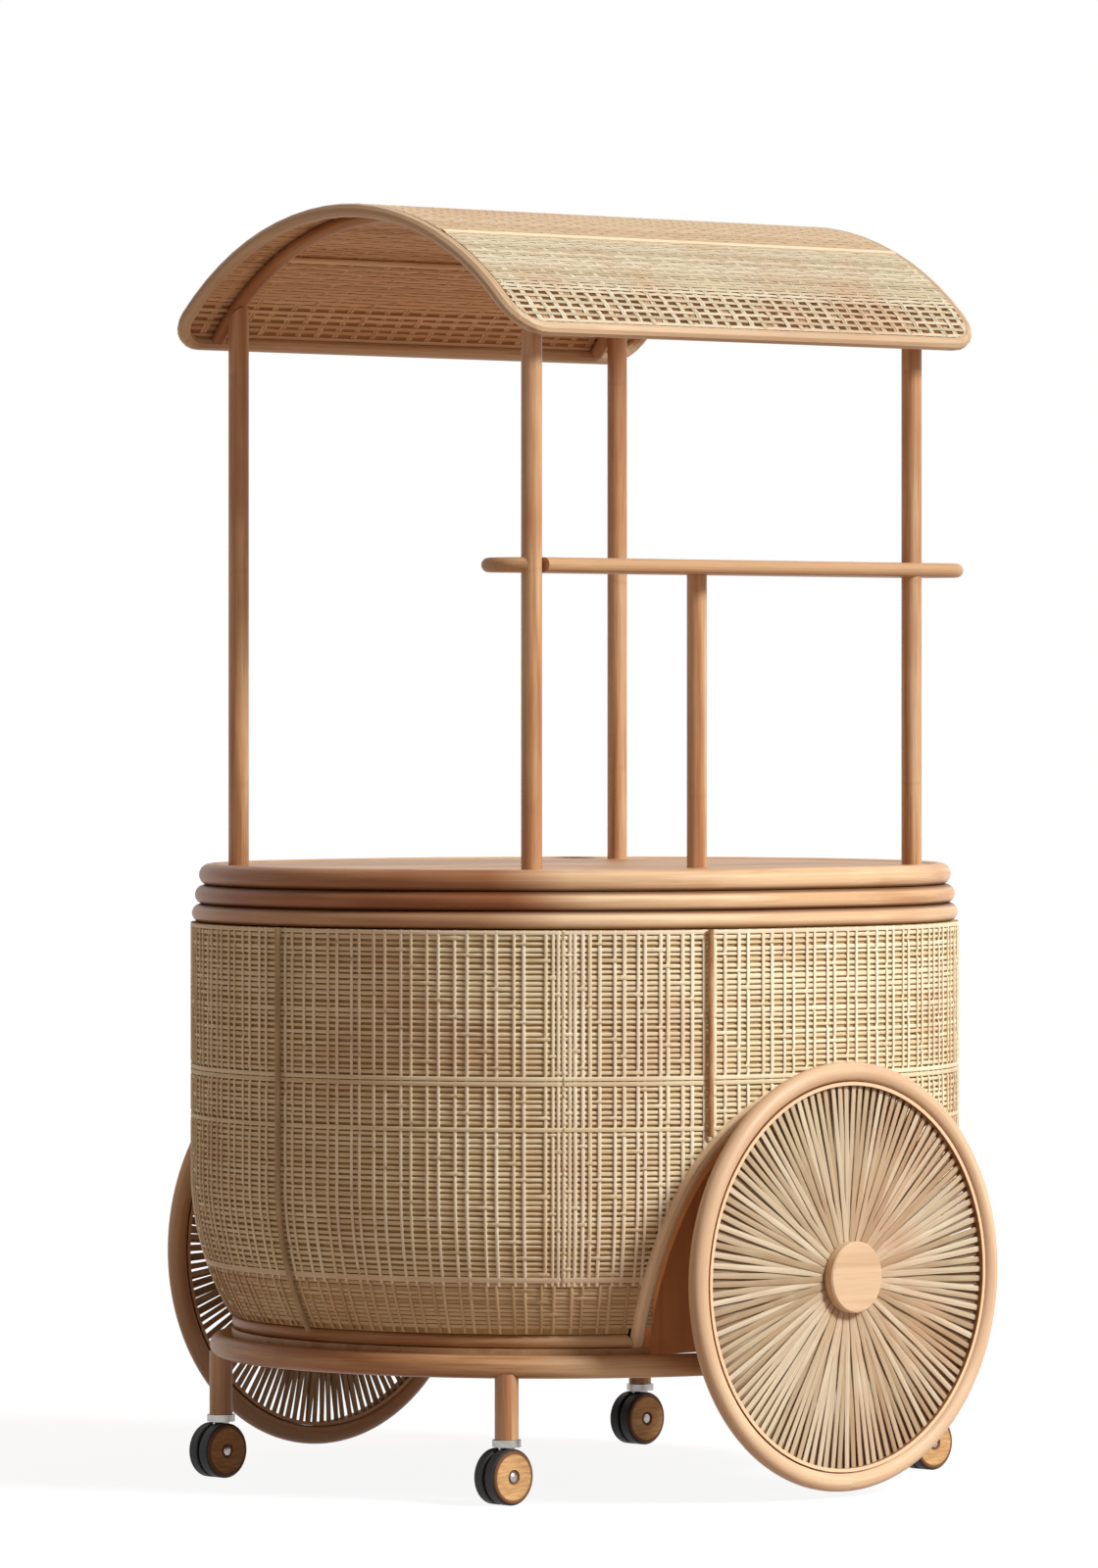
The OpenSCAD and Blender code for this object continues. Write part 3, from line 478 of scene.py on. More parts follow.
def seam_finish():
    """Thin stained pole over a joint of the drum's cane, paler at the two ends of the drum."""
    f = Finish("stained seam pole")
    place = f.place()
    _, y, _ = f.split(place)
    stretch = f.add("Mapping", place)
    stretch.inputs["Scale"].default_value = (60, 60, 14)
    stain_and_shade = f.noise(stretch.outputs[0], 1.0, 4.0, 0.6)
    stained = f.ramp(stain_and_shade, (0.32, tone(132, 88, 54)), (0.5, tone(182, 136, 92)), (0.68, tone(214, 172, 128)))
    plain = f.ramp(stain_and_shade, (0.32, tone(170, 146, 114)), (0.68, tone(200, 176, 142)))
    colour = f.blend(f.grey(f.math("ABSOLUTE", y), 0.05, 0.06), plain, stained)
    return f.finish(colour, 0.55, stain_and_shade, bump=0.3, depth=0.0006, specular=0.14)


def hoop_finish():
    """Bent hoop in a side wheel: pale along both edges, and brown on its inner face as painted shade."""
    f = Finish("bent hoop with painted shade")
    place = f.place()
    _, y, _ = f.split(place)
    grain = f.noise(along_pole(f, "axle"), 160.0, 3.0)
    # Painted shade: the hoop's inner face is brown, as it lies in shade
    inside = f.ramp(grain, (0.3, tone(140, 94, 60)), (0.7, tone(168, 118, 78)))
    edge = f.grey(f.math("ABSOLUTE", f.math("SUBTRACT", f.math("ABSOLUTE", y), WHEEL_Y)), 0.0078, 0.0086)
    colour = f.blend(edge, inside, tone(236, 204, 166))
    return f.finish(colour, 0.55, grain, bump=0.15, depth=0.0004, specular=0.14)


def disc_finish(name, centre):
    """Turned disc on a caster's wheel: tan wood, with a brown edge and a brown ring round its pin."""
    f = Finish(name)
    x, y, z = f.split(f.place())
    aside = f.math("SUBTRACT", x, centre)
    rise = f.math("SUBTRACT", z, CASTER_R)
    reach = f.length(aside, rise)
    grain = f.noise(f.join(f.math("MULTIPLY", aside, 40.0), y, f.math("MULTIPLY", rise, 300.0)), 1.0, 4.0, 0.6)
    face = f.ramp(grain, (0.35, tone(184, 138, 90)), (0.65, tone(218, 176, 122)))
    brown = f.math("MAXIMUM", f.grey(reach, 0.0318, 0.0335), f.grey(reach, 0.0112, 0.0096))
    return f.finish(f.blend(brown, face, tone(120, 80, 52)), 0.5, grain, bump=0.12, depth=0.0004, specular=0.2)


def steel_finish():
    """Brushed steel."""
    f = Finish("brushed steel")
    place = f.place()
    stretch = f.add("Mapping", place)
    stretch.inputs["Scale"].default_value = (90, 90, 900)
    brush = f.noise(stretch.outputs[0], 1.0, 3.0)
    colour = f.ramp(brush, (0.3, tone(158, 156, 154)), (0.7, tone(194, 191, 188)))
    f.shader.inputs["Metallic"].default_value = 1.0
    return f.finish(colour, f.math("ADD", 0.28, f.math("MULTIPLY", brush, 0.15)), brush, bump=0.08, depth=0.0002)


def rubber_finish():
    """Dark rubber with a little dust on it."""
    f = Finish("tyre rubber")
    place = f.place()
    grain = f.noise(place, 900.0, 2.0)
    dust = f.noise(place, 40.0, 3.0)
    colour = f.ramp(dust, (0.35, tone(26, 26, 27)), (0.75, tone(44, 43, 42)))
    return f.finish(colour, f.math("ADD", 0.52, f.math("MULTIPLY", dust, 0.2)), grain, bump=0.15, depth=0.0003)


def dress(names, mat):
    """Gives CAD nodes their finish."""
    for name in names:
        slots = nodes[name].data.materials
        slots.clear()
        slots.append(mat)


# Woven cane

def strand_bed(name, strands, steps):
    """Flat strands side by side, each two faces wide, cut from one grid. Returns the object with the
    strand, side and step of each vertex."""
    bpy.ops.object.select_all(action="DESELECT")
    columns = 3 * strands - 1
    bpy.ops.mesh.primitive_grid_add(x_subdivisions=columns, y_subdivisions=steps, size=1)
    bed = bpy.context.active_object
    bed.name = name
    mesh = bed.data
    mesh.name = name
    for face in mesh.polygons:
        face.select = int((face.center.x + 0.5) * columns) % 3 == 2
    remove_selected(bed)
    flat = np.empty(len(mesh.vertices) * 3, np.float32)
    mesh.vertices.foreach_get("co", flat)
    flat = flat.reshape(-1, 3)
    column = np.rint((flat[:, 0] + 0.5) * columns).astype(int)
    step = np.rint((flat[:, 1] + 0.5) * steps).astype(int)
    return bed, column // 3, column % 3 - 1, step


def remove_selected(piece):
    """Takes out the selected faces, with the edges and vertices that only they use."""
    bpy.context.view_layer.objects.active = piece
    bpy.ops.object.mode_set(mode="EDIT")
    bpy.ops.mesh.select_mode(type="FACE")
    bpy.ops.mesh.delete(type="FACE")
    bpy.ops.object.mode_set(mode="OBJECT")


def set_places(piece, places):
    """Puts each vertex in its place."""
    piece.data.vertices.foreach_set("co", np.asarray(places, np.float32).ravel())
    piece.data.update()


def set_strand_uv(piece, strand, side, along):
    """Writes the strand's number and the way along it, as cane_finish reads them."""
    layer = piece.data.uv_layers[0]
    layer.name = "strand"
    corner = np.empty(len(piece.data.loops), np.int32)
    piece.data.loops.foreach_get("vertex_index", corner)
    uv = np.stack([(strand + 0.5 + UV_HALF * side)[corner], along[corner]], 1)
    layer.data.foreach_set("uv", uv.astype(np.float32).ravel())


def trim_strands(piece, longest=1.0):
    """Takes out the faces that were drawn in to nothing where a strand stops short, and any drawn out across a
    gap, which are longer than longest, in metres."""
    for face in piece.data.polygons:
        face.select = face.area < SLIVER or face.area > longest * STRAND_WIDTH
    if any(face.select for face in piece.data.polygons):
        remove_selected(piece)


def thicken(piece, thickness, mat, smooth=40):
    """Gives a sheet its wall, inwards from its face, and its finish."""
    bpy.ops.object.select_all(action="DESELECT")
    piece.select_set(True)
    bpy.context.view_layer.objects.active = piece
    wall = piece.modifiers.new("wall", "SOLIDIFY")
    wall.thickness = thickness
    wall.offset = -1
    bpy.ops.object.modifier_apply(modifier=wall.name)
    piece.data.materials.clear()
    piece.data.materials.append(mat)
    bpy.ops.object.shade_smooth_by_angle(angle=math.radians(smooth))
    return piece


def joined(pieces, name):
    """One object of that name from one or more."""
    bpy.ops.object.select_all(action="DESELECT")
    for piece in pieces:
        piece.select_set(True)
    bpy.context.view_layer.objects.active = pieces[0]
    if len(pieces) > 1:
        bpy.ops.object.join()
    pieces[0].name = name
    pieces[0].data.name = name
    return pieces[0]


def drum_radius(z):
    """Radius of the drum's ends at a height: straight down, then drawn in along an arc."""
    below = np.clip(TAPER_TOP - z, 0, None)
    return DRUM_R - TAPER_ARC + np.sqrt(TAPER_ARC**2 - below**2)


def round_drum(run, radius):
    """Plan place at a run along the drum's face, counter-clockwise from the middle of the near side."""
    run = np.mod(run, LAP)
    arc = math.pi * DRUM_R
    first, second = PLAN_HALF, PLAN_HALF + arc
    third, fourth = second + 2 * PLAN_HALF, second + 2 * PLAN_HALF + arc
    turn = np.select(
        [run < first, run < second, run < third, run < fourth],
        [0 * run, (run - first) / DRUM_R, 0 * run + math.pi, math.pi + (run - third) / DRUM_R],
        2 * math.pi,
    ) - math.pi / 2
    middle = np.select(
        [run < first, run < second, run < third, run < fourth],
        [run, 0 * run + PLAN_HALF, PLAN_HALF - (run - second), 0 * run - PLAN_HALF],
        run - fourth - PLAN_HALF,
    )
    return np.stack([middle + radius * np.cos(turn), radius * np.sin(turn)], -1)


def run_at(turn_deg):
    """Run along the face of a turn round the drum's ends: -90 to 90 on the right end, 90 to 270 on the left."""
    if turn_deg <= 90:
        return PLAN_HALF + math.radians(turn_deg + 90) * DRUM_R
    return 3 * PLAN_HALF + math.radians(turn_deg + 90) * DRUM_R


def arch_limits(z):
    """Half width of the wheel arch on the drum's face at a height, or 0 over it."""
    rise = z - AXLE_Z
    return np.sqrt(np.clip(ARCH_CUT**2 - rise**2, 0, None))


def arch_run(half):
    """Run from the middle of a long side to that distance along X, on the drum's face."""
    over = np.clip(half - PLAN_HALF, 0, None)
    return np.minimum(half, PLAN_HALF) + DRUM_R * np.arcsin(np.clip(over / DRUM_R, 0, 1))


def warp_runs(start, end, broad_start=False, broad_end=False, close=1.0):
    """Runs of a sheet's upright strands: loose pairs, drawn closer in the narrow sheets, and a close group at a
    broad edge."""
    first = start + (BROAD_MARGIN if broad_start else PLAIN_MARGINS[0])
    last = end - (BROAD_MARGIN if broad_end else PLAIN_MARGINS[1])
    runs, run, wide = [], first, False
    while run < last:
        runs.append(run + draw.uniform(-0.0012, 0.0012))
        run += (PAIR_GAPS[wide] + draw.uniform(-0.0016, 0.0016)) * close
        wide = not wide
    if broad_start:
        runs[0:0] = list(start + BROAD_GROUP)
    if broad_end:
        runs[len(runs):] = list(end - BROAD_GROUP[:0:-1])
    return np.array(runs)


def row_heights(top, bottom, pitch, loose):
    """Heights of level rows from the top down, each a little out of its place."""
    rows, z = [], top
    while z > bottom:
        rows.append(z + draw.uniform(-loose, loose))
        z -= pitch
    return np.array(rows)


def over_pattern(rows, count, float_over):
    """Whether a row passes over each upright: a few of them, stepped from row to row, and all where it floats."""
    over = (3 * np.arange(len(rows))[:, None] + 5 * np.arange(count)[None, :]) % OVER_EVERY == 0
    over[float_over, :] = True
    return over


def lay_warps(name, runs, rows, over, reach_top, reach_low, mat):
    """Upright strands of one sheet. They dip where a row passes over them."""
    heights = np.concatenate([[reach_low], rows[::-1], [reach_top]])
    dips = np.concatenate([[0 * over[0]], over[::-1], [0 * over[0]]]).astype(float)
    bed, strand, side, step = strand_bed(name, len(runs), len(heights) - 1)
    widths = WARP_WIDTH * draw.uniform(0.86, 1.12, len(runs))
    lean = draw.uniform(-0.0008, 0.0008, (len(runs), 2))
    run = runs[strand]
    share = step / (len(heights) - 1)
    run = run + lean[strand, 0] * share + lean[strand, 1] * (1 - share) + side * widths[strand] / 2
    z = heights[step]
    for centre in (0.0, LAP / 2, LAP):
        aside = np.abs(runs - centre)
        inside = aside < arch_run(np.array(ARCH_CUT))
        beyond = DRUM_R * np.sin(np.clip(aside - PLAN_HALF, 0, None) / DRUM_R)
        half = np.where(inside, beyond + np.minimum(aside, PLAN_HALF), OFF_ARCH)
        top_of_arch = AXLE_Z + np.sqrt(np.clip(ARCH_CUT**2 - half**2, 0, None))
        z = np.where(inside[strand], np.maximum(z, top_of_arch[strand]), z)
    depth = FACE_DEPTH + dips[step, strand] * WARP_DIP + 0.0006 * np.abs(side)
    places = np.concatenate([round_drum(run, drum_radius(z) - depth), z[:, None]], 1)
    set_places(bed, places)
    set_strand_uv(bed, strand, side, z)
    trim_strands(bed)
    return thicken(bed, WARP_THICK, mat)


def lay_wefts(name, start, end, runs, rows, over, widths, mat):
    """Level strands of one sheet, over and under its uprights, stopped at the wheel arches."""
    between = (runs[:-1] + runs[1:]) / 2
    stops = np.sort(np.concatenate([[start, end], runs, between]))
    wave = np.zeros((len(rows), len(stops)))
    at_warp = np.searchsorted(stops, runs)
    wave[:, at_warp] = np.where(over, WEFT_OVER, WEFT_UNDER)
    for gap in np.searchsorted(stops, between):
        wave[:, gap] = (wave[:, gap - 1] + wave[:, gap + 1]) / 2
    wave[:, 0], wave[:, -1] = WEFT_END, WEFT_END
    bed, strand, side, step = strand_bed(name, len(rows), len(stops) - 1)
    z = rows[strand] - side * widths[strand] / 2
    run = stops[step]
    half = arch_run(arch_limits(z))
    for centre in (0.0, LAP / 2, LAP):
        aside = run - centre
        blocked = (np.abs(aside) < half) & (half > 0)
        edge = centre + np.where(aside < 0, -half, half)
        if start < centre < end:
            run = np.where(blocked, edge, run)
        else:
            run = np.where(blocked, centre + (half if start >= centre else -half), run)
    depth = wave[strand, step] + 0.0005 * np.abs(side)
    places = np.concatenate([round_drum(run, drum_radius(z) - depth), z[:, None]], 1)
    set_places(bed, places)
    set_strand_uv(bed, strand, side, run)
    trim_strands(bed, longest=0.040)
    return thicken(bed, WEFT_THICK, mat)


# The drum's cane sheets: name, turns in degrees where each starts and ends, and which ends have a close group
SHEETS = [
    ("end_left", 180.0, 229.5, False, True),
    ("corner_near_left", 229.5, 253.0, True, False),
    ("near", 253.0, 0.0, False, False),
    ("end_right", 0.0, 49.5, False, True),
    ("corner_far_right", 49.5, 73.0, True, False),
    ("far", 73.0, 180.0, False, False),
]


def weave_drum(warp_mat, weft_mat, band_mat, foot_mat):
    """Cane sheets round the drum: main weave, closer foot weave, and a level band at top and bottom. A few rows
    float over every upright, and a few are broader."""
    rows = row_heights(top=0.8035, bottom=0.3260, pitch=0.00794, loose=0.0006)
    floating, broad = ([int(np.argmin(np.abs(rows - z))) for z in heights]
                       for heights in ((0.604, 0.595, 0.536), (0.745, 0.700, 0.604, 0.595, 0.536, 0.440)))
    widths = 0.0048 + draw.uniform(-0.0010, 0.0009, len(rows))
    widths[broad] = 0.0061
    foot_rows = row_heights(top=0.3110, bottom=DRUM_FOOT + 0.005, pitch=0.0060, loose=0.0003)
    foot_widths = 0.0052 + draw.uniform(-0.0008, 0.0004, len(foot_rows))
    for name, turn_a, turn_b, broad_a, broad_b in SHEETS:
        start, end = run_at(turn_a), run_at(turn_b)
        if start > end:
            start -= LAP
        runs = warp_runs(start, end, broad_a, broad_b, close=CORNER_CLOSE if name.startswith("corner") else 1.0)
        over = over_pattern(rows, len(runs), floating)
        level = lay_wefts("weft", start, end, runs, rows, over, widths, weft_mat)
        upright = lay_warps("warp", runs, rows, over, reach_top=DRUM_TOP, reach_low=0.310, mat=warp_mat)
        foot_runs = warp_runs(start + 0.004, end - 0.004)
        foot_over = over_pattern(foot_rows, len(foot_runs), [])
        low = lay_wefts("foot weft", start, end, foot_runs, foot_rows, foot_over, foot_widths, foot_mat)
        stem = lay_warps("foot warp", foot_runs, foot_rows, foot_over, reach_top=FOOT_TOP, reach_low=DRUM_FOOT,
                         mat=foot_mat)
        band_rows = np.array([0.8112, 0.3190])
        band_over = np.ones((2, len(runs)), bool)
        band = lay_wefts("band", start, end, runs, band_rows, band_over, np.array([0.0056, 0.0084]), band_mat)
        sheet = joined([upright, level, low, stem, band], "drum_weave_" + name)
        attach(sheet, "root")
        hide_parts("drum_cane")


# Canopy

def vault_place(along, turn, radius):
    """A place over the vault: along the cart, turned from the crown, at that radius."""
    return np.stack([along, radius * np.sin(turn), VAULT_Z + radius * np.cos(turn)], -1)


def corner_limit(at, reach, limit, corner):
    """How far a strand runs where it meets a rounded corner of the canopy's cane."""
    into = np.clip(np.abs(at) - (reach - corner), 0, corner)
    return limit - corner + np.sqrt(corner**2 - into**2)


class Vault:
    """One face of the canopy's cane: its radius, and how far it reaches short of the rim pole's centre line."""

    def __init__(self, radius, short, outside):
        self.radius, self.outside = radius, outside
        self.length = RIM_HALF_LEN - short
        self.arc = (RIM_TURN - short / RIM_R) * radius
        self.corner = RIM_CORNER - short

    def lay(self, name, across, along, width, depth_at, crosswise, mat, thickness):
        """Strands that run lengthwise, or crosswise over the vault. across and along are places on the flat
        sheet, in metres, and depth_at gives how deep each strand lies at each step."""
        bed, strand, side, step = strand_bed(name, len(across), len(along) - 1)
        lateral = across[strand] + side * width[strand] / 2
        if crosswise:
            limit = corner_limit(lateral, self.length, self.arc, self.corner)
            x, arc = lateral, np.clip(along[step], -limit, limit)
        else:
            limit = corner_limit(lateral, self.arc, self.length, self.corner)
            x, arc = np.clip(along[step], -limit, limit), -lateral
        depth = depth_at[strand, step] + 0.0003 * np.abs(side)
        where = self.radius - depth if self.outside else self.radius + depth
        set_places(bed, vault_place(x, arc / self.radius, where))
        set_strand_uv(bed, strand, side, along[step])
        trim_strands(bed)
        if not self.outside:
            bpy.ops.object.mode_set(mode="EDIT")
            bpy.ops.mesh.select_all(action="SELECT")
            bpy.ops.mesh.flip_normals()
            bpy.ops.object.mode_set(mode="OBJECT")
        return thicken(bed, thickness, mat)


def eave_rows(vault, width):
    """Places across the vault of the lengthwise strands: open rows along both eaves, close ones over the crown."""
    edge = vault.arc - EAVE_EDGE
    open_rows = [edge - EAVE_PITCH * i for i in range(EAVE_ROWS)]
    lone = [open_rows[-1] - gap for gap in LONE_GAPS]
    top = lone[-1] - CROWN_GAP
    count = 2 * int(top / CROWN_PITCH)
    close = np.linspace(-top, top, count) + draw.uniform(-0.0004, 0.0004, count)
    sparse = open_rows + lone
    rows = np.concatenate([[-v for v in sparse], close, sparse[::-1]])
    ends = [width] * len(sparse)
    widths = np.concatenate([ends, 0.0054 + draw.uniform(-0.0012, 0.0005, count), ends])
    return rows, widths


def weave_canopy(name, vault, long_mat, cross_mat, row_width, pitch, half_pair, cross_width):
    """One layer of the canopy's weave: lengthwise rows, crossed by pairs of strands."""
    rows, widths = eave_rows(vault, row_width)
    reach = int(vault.length / pitch)
    pairs = np.arange(-reach, reach + 1) * pitch
    crosses = np.sort(np.concatenate([pairs - half_pair, pairs + half_pair]))
    crosses = crosses + draw.uniform(-0.0004, 0.0004, len(crosses))
    cross_widths = cross_width + draw.uniform(-0.0006, 0.0004, len(crosses))
    middles = np.sort(np.concatenate([pairs, (pairs[:-1] + pairs[1:]) / 2, [-vault.length, vault.length]]))
    over = (np.arange(len(rows))[:, None] + 2 * np.arange(len(pairs))[None, :]) % 3 != 0
    lengthwise = np.full((len(rows), len(middles)), CANOPY_MIDDLE)
    at_pair = np.searchsorted(middles, pairs)
    lengthwise[:, at_pair] = np.where(over, CANOPY_OVER, CANOPY_UNDER)
    stops = np.concatenate([[-vault.arc], rows, [vault.arc]])
    crosswise = np.full((len(crosses), len(stops)), CANOPY_END)
    pair_of = np.clip(np.arange(len(crosses)) // 2, 0, len(pairs) - 1)
    crosswise[:, 1:-1] = np.where(over[:, pair_of].T, CANOPY_UNDER, CANOPY_OVER)
    made = [
        vault.lay("lengthwise", rows, middles, widths, lengthwise, False, long_mat, CANOPY_THICK),
        vault.lay("crosswise", crosses, -stops[::-1], cross_widths, crosswise[:, ::-1], True, cross_mat,
                  CANOPY_THICK),
    ]
    for piece, piece_name in zip(made, (name + "_lengthwise", name + "_crosswise")):
        joined([piece], piece_name)
        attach(piece, "root")
        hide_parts("canopy_cane")


def line_canopy(mat):
    """Thin lining between the outer and the inner weave."""
    bpy.ops.object.select_all(action="DESELECT")
    bpy.ops.mesh.primitive_grid_add(x_subdivisions=40, y_subdivisions=64, size=1)
    lining = bpy.context.active_object
    lining.name = "canopy_lining"
    flat = np.array([v.co for v in lining.data.vertices])
    sheet = Vault(LINING_R, short=0.0030, outside=True)
    arc = flat[:, 1] * 2 * sheet.arc
    limit = corner_limit(arc, sheet.arc, sheet.length, sheet.corner)
    x = np.clip(flat[:, 0] * 2 * sheet.length, -limit, limit)
    set_places(lining, vault_place(x, arc / sheet.radius, sheet.radius))
    thicken(lining, 0.0004, mat)
    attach(lining, "root")
    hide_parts("canopy_cane")


def battens(name, vault, across, width, proud, mat):
    """Flat cane battens along the canopy, proud of its weave."""
    steps = np.linspace(-vault.length, vault.length, 25)
    count = len(across)
    depth = np.full((count, len(steps)), -proud)
    piece = vault.lay(name, across, steps, np.full(count, width), depth, False, mat, proud + 0.0004)
    joined([piece], name)
    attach(piece, "root")


# Side wheels

def spoke_bed(name, side, offset, hub_lifts, rim_lift, hub_width, rim_width, mat):
    """One fan of flat cane spokes, in layers at the hub that come together at the hoop."""
    steps = 8
    bed, strand, across, step = strand_bed(name, SPOKES, steps)
    turn = 2 * math.pi * (np.arange(SPOKES) + offset + draw.uniform(-0.08, 0.08, SPOKES)) / SPOKES
    layer = np.array(hub_lifts)[np.arange(SPOKES) % len(hub_lifts)]
    hub_shift = draw.uniform(-0.016, 0.016, SPOKES)
    share = step / steps
    radius = SPOKE_START + share * (SPOKE_END - SPOKE_START)
    width = hub_width + (rim_width - hub_width) * share + draw.uniform(-0.0006, 0.0006, SPOKES)[strand]
    angle = turn[strand] + hub_shift[strand] * (1 - share)
    out = np.stack([np.cos(angle), 0 * angle, np.sin(angle)], 1)
    beside = np.stack([np.sin(angle), 0 * angle, -np.cos(angle)], 1) * -side
    crown = 0.0006 * (1 - np.abs(across))
    rim_lifts = (rim_lift + draw.uniform(-0.0004, 0.0004, SPOKES)[strand]) * share
    lift = layer[strand] * (1 - share) + rim_lifts + crown
    places = out * radius[:, None] + beside * (across * width / 2)[:, None]
    places += np.array([0, side, 0]) * (WHEEL_Y + lift)[:, None]
    places[:, 2] += AXLE_Z
    set_places(bed, places)
    set_strand_uv(bed, strand, across, radius)
    return thicken(bed, SPOKE_THICK, mat)


def spoke_strips(side_name, side, mat, back_mat, barrel_mat, back_width):
    """Cane spokes on both faces of a side wheel, and the turned barrel that they start from."""
    front = spoke_bed("front", side, offset=0.0, hub_lifts=(0.0076, 0.0044, 0.0060, 0.0028), rim_lift=0.0024,
                      hub_width=0.0094, rim_width=0.0080, mat=mat)
    back = spoke_bed("back", side, offset=0.75, hub_lifts=(-0.0036, -0.0068, -0.0052, -0.0084), rim_lift=-0.0014,
                     hub_width=0.0080, rim_width=back_width, mat=back_mat)
    bpy.ops.object.select_all(action="DESELECT")
    bpy.ops.mesh.primitive_cylinder_add(
        vertices=64, radius=BARREL_R, depth=BARREL_LEN, location=(0, side * (WHEEL_Y - BARREL_INSET), AXLE_Z),
        rotation=(math.pi / 2, 0, 0), end_fill_type="NOTHING",
    )
    barrel = bpy.context.active_object
    bpy.ops.object.transform_apply(location=True, rotation=True, scale=True)
    bpy.ops.object.mode_set(mode="EDIT")
    bpy.ops.mesh.select_all(action="SELECT")
    bpy.ops.mesh.normals_make_consistent(inside=False)
    bpy.ops.object.mode_set(mode="OBJECT")
    thicken(barrel, BARREL_R - BORE_R, barrel_mat, smooth=30)
    edges = barrel.modifiers.new("edges", "BEVEL")
    edges.width = 0.0012
    edges.segments = 2
    bpy.ops.object.modifier_apply(modifier=edges.name)
    barrel.name = "wheel_" + side_name + "_barrel"
    strips = joined([front, back], "wheel_" + side_name + "_strips")
    for piece, slot in ((strips, "cane"), (barrel, "board")):
        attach(piece, "wheel_" + side_name)
        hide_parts("wheel_" + side_name + "_spokes")


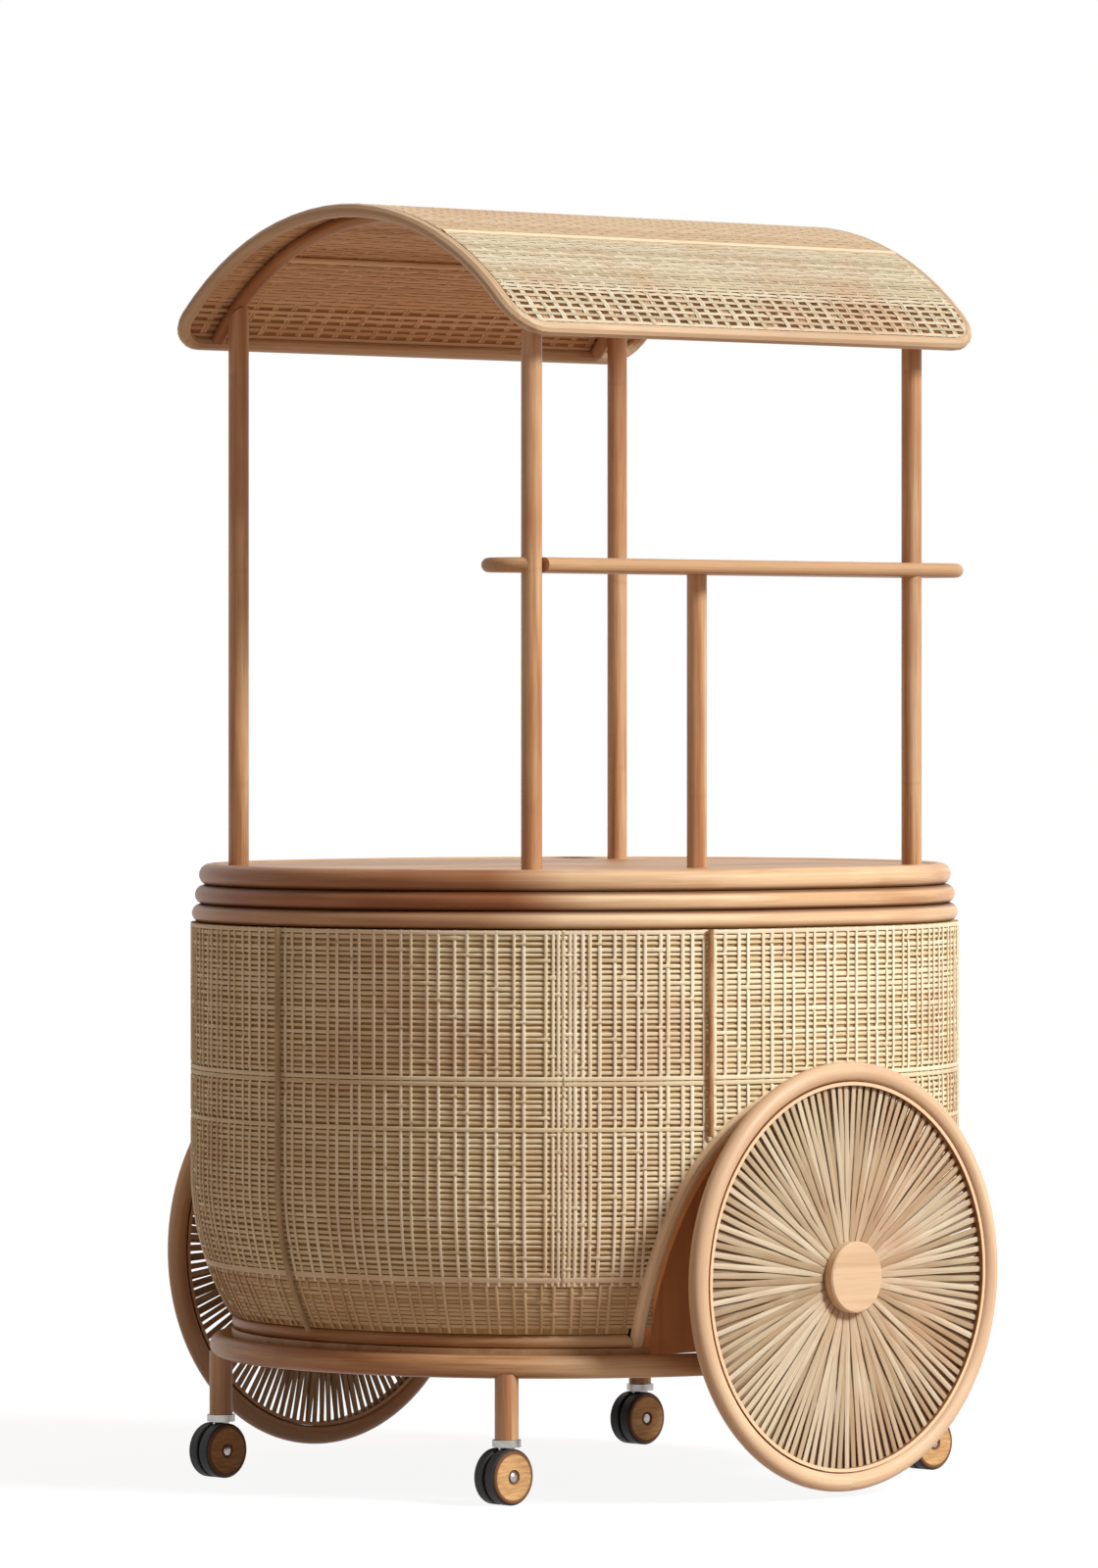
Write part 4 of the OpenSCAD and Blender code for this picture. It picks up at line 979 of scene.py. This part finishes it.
def main():
    """Sets the scene, dresses the CAD pieces, and weaves the cane on them."""
    bpy.context.scene.tool_settings.mesh_select_mode = (False, False, True)
    set_camera()
    set_light()
    lay_floor()
    bpy.context.scene.view_settings.view_transform = "Standard"

    upright = pole_finish("rattan pole upright", "z", knots=0.12, deep=0.28, sheen=0.5)
    # Rings: painted shade left of shade_from, a painted highlight just right of it, and painted shade in the creases
    dress(["worktop_ring"], pole_finish("worktop edge pole", "oval", pale=0.28, creases=(0.8684,),
                                        shade_from=-0.42, brown=0.75))
    dress(["upper_collar"], pole_finish("upper collar pole", "oval", pale=0.2, creases=(0.8684, 0.8409),
                                        shade_from=-0.39, brown=0.85))
    dress(["lower_collar"], pole_finish("lower collar pole", "oval", pale=0.42, creases=(0.8409, 0.8147),
                                        shade_from=-0.43, brown=0.55))
    dress(["bottom_ring", "base_ring"], pole_finish("base poles", "oval", deep=0.12, creases=(0.2155,),
                                                    shade_from=-0.38, brown=0.3))
    dress([n for n in nodes if n.startswith(("leg_", "post_")) or n in ("shelf_post", "frame_uprights")], upright)
    dress(["base_bearers"], pole_finish("bearer pole", "x", knots=0.12))
    dress(["canopy_purlins"], pole_finish("purlin pole", "x", pale=0.5))
    # Painted light: the arch poles are paled almost to their pale tone, against the wheels' shadow on them
    dress(["arch_pole_near", "arch_pole_far"], pole_finish("arch pole", "axle", pale=0.9, pale_tone=(252, 226, 190)))
    dress(["wheel_near_rim", "wheel_far_rim"],
          pole_finish("pale wheel pole", "axle", pale=0.55, pale_tone=(232, 206, 174)))
    dress(["canopy_rim"], pole_finish("canopy rim pole", "rim", pale=0.6, pale_tone=(200, 180, 151)))
    # Painted shade: the canopy's ribs are deepened to the shade they lie in under the canopy
    dress(["canopy_rib_left", "canopy_rib_right"], pole_finish("canopy rib pole deepened as painted shade", "vault", deep=0.5))
    dress(["seam_poles"], seam_finish())
    plank = board_finish("oiled board lengthways", "x", tone(198, 158, 118), tone(166, 124, 84))
    turned = board_finish("turned wood", "z", tone(220, 188, 148), tone(198, 158, 116))
    cap = board_finish("hub cap wood", "x", tone(224, 192, 156), tone(200, 162, 124))
    # Painted light: the recess wood is near the palest it can be, against the wheel's shadow in the recess
    panel = board_finish("recess wood paled as painted light", "z", tone(252, 190, 134), tone(228, 160, 106))
    dress(["worktop_panel", "shelf_board", "base_panel"], plank)
    dress(["wheel_near_cap", "wheel_far_cap"], cap)
    dress(["axle_spacers", "axle_blocks"], turned)
    for hand, centre in zip(("left", "right"), CASTER_X):
        dress([n for n in nodes if n.endswith(hand + "_discs")], disc_finish("turned disc " + hand, centre))
    dress(["wheel_well_near", "wheel_well_far"], panel)
    # Painted light: the drum's lining is paled, against the shade in the gaps of its weave
    dress(["drum_liner"], liner_finish("lining of the drum paled as painted light", tone(180, 150, 105), tone(206, 178, 129)))
    steel = steel_finish()
    dress([n for n in nodes if n.endswith(("_swivel", "_pin"))] + ["axle", "axle_nuts"], steel)
    dress([n for n in nodes if n.endswith("_tyres")], rubber_finish())

    bright = cane_finish("upright cane", tone(253, 244, 219), tone(249, 237, 207), tone(239, 223, 187),
                         tone(206, 178, 138))
    level_cane = cane_finish("level cane", tone(248, 237, 205), tone(240, 224, 186), tone(224, 204, 162),
                             tone(185, 157, 114))
    border = cane_finish("border cane", tone(250, 236, 210), tone(244, 226, 196), tone(234, 214, 180),
                         tone(200, 166, 126))
    foot = cane_finish("foot cane", tone(234, 212, 172), tone(218, 192, 150), tone(198, 170, 128), tone(154, 120, 80))
    outer_long = cane_finish("canopy cane lengthwise", tone(219, 208, 181), tone(206, 194, 165), tone(185, 170, 139),
                             tone(150, 122, 90), patches=0.45, crown=0.4)
    outer_cross = cane_finish("canopy cane crosswise", tone(226, 217, 193), tone(212, 201, 172), tone(190, 175, 144),
                              tone(156, 126, 94), patches=0.45, crown=0.4)
    inner = cane_finish("canopy cane inside", tone(232, 196, 156), tone(220, 180, 140), tone(202, 162, 124),
                        tone(158, 116, 80), patches=0.2)
    spoke = cane_finish("spoke cane", tone(221, 205, 177), tone(197, 177, 147), tone(169, 145, 113),
                        tone(134, 102, 70), patches=0.45, fibre_share=0.6)
    # The spokes behind carry painted shade on their outward side
    back_spoke = cane_finish("spoke cane behind with painted shade", tone(224, 208, 180), tone(200, 180, 150), tone(172, 148, 116),
                             tone(134, 102, 70), patches=0.3, fibre_share=0.6, stain_and_shade=0.9)
    back_strip = cane_finish("canopy strips inside", tone(232, 200, 162), tone(220, 186, 148), tone(204, 168, 130),
                             tone(160, 120, 84), patches=0.1)
    dress(["wheel_near_hoop", "wheel_far_hoop"], hoop_finish())
    dress(["drum_cane", "canopy_cane", "wheel_near_spokes", "wheel_far_spokes"], turned)

    weave_drum(bright, level_cane, border, foot)
    outer_face = Vault(CANE_OUT, short=0.0060, outside=True)
    inner_face = Vault(CANE_IN, short=0.0090, outside=False)
    weave_canopy("canopy_outer", outer_face, outer_long, outer_cross, row_width=0.0056, pitch=0.0248,
                 half_pair=0.0024, cross_width=0.0044)
    weave_canopy("canopy_inner", inner_face, inner, inner, row_width=0.0066, pitch=0.0372, half_pair=0.0030,
                 cross_width=0.0054)
    # Painted shade: the canopy's lining is dark brown on its outward face, for the shade in the outer weave's holes;
    # its underside is paler
    line_canopy(liner_finish("lining of the canopy darkened as painted shade", tone(94, 62, 34), tone(122, 84, 50), tone(170, 124, 86)))
    over_purlin = math.radians(25.4) * CANE_OUT
    battens("canopy_battens", outer_face, np.array([-over_purlin, over_purlin]), width=0.0105, proud=0.0012,
            mat=border)
    strips = inner_face.arc - EAVE_EDGE - EAVE_PITCH * np.array([0, 2, 4])
    battens("canopy_inner_strips", inner_face, np.concatenate([-strips, strips]), width=0.0064, proud=0.0006,
            mat=back_strip)
    spoke_strips("near", -1, spoke, back_spoke, turned, back_width=0.0128)
    spoke_strips("far", 1, spoke, back_spoke, turned, back_width=0.0084)


main()
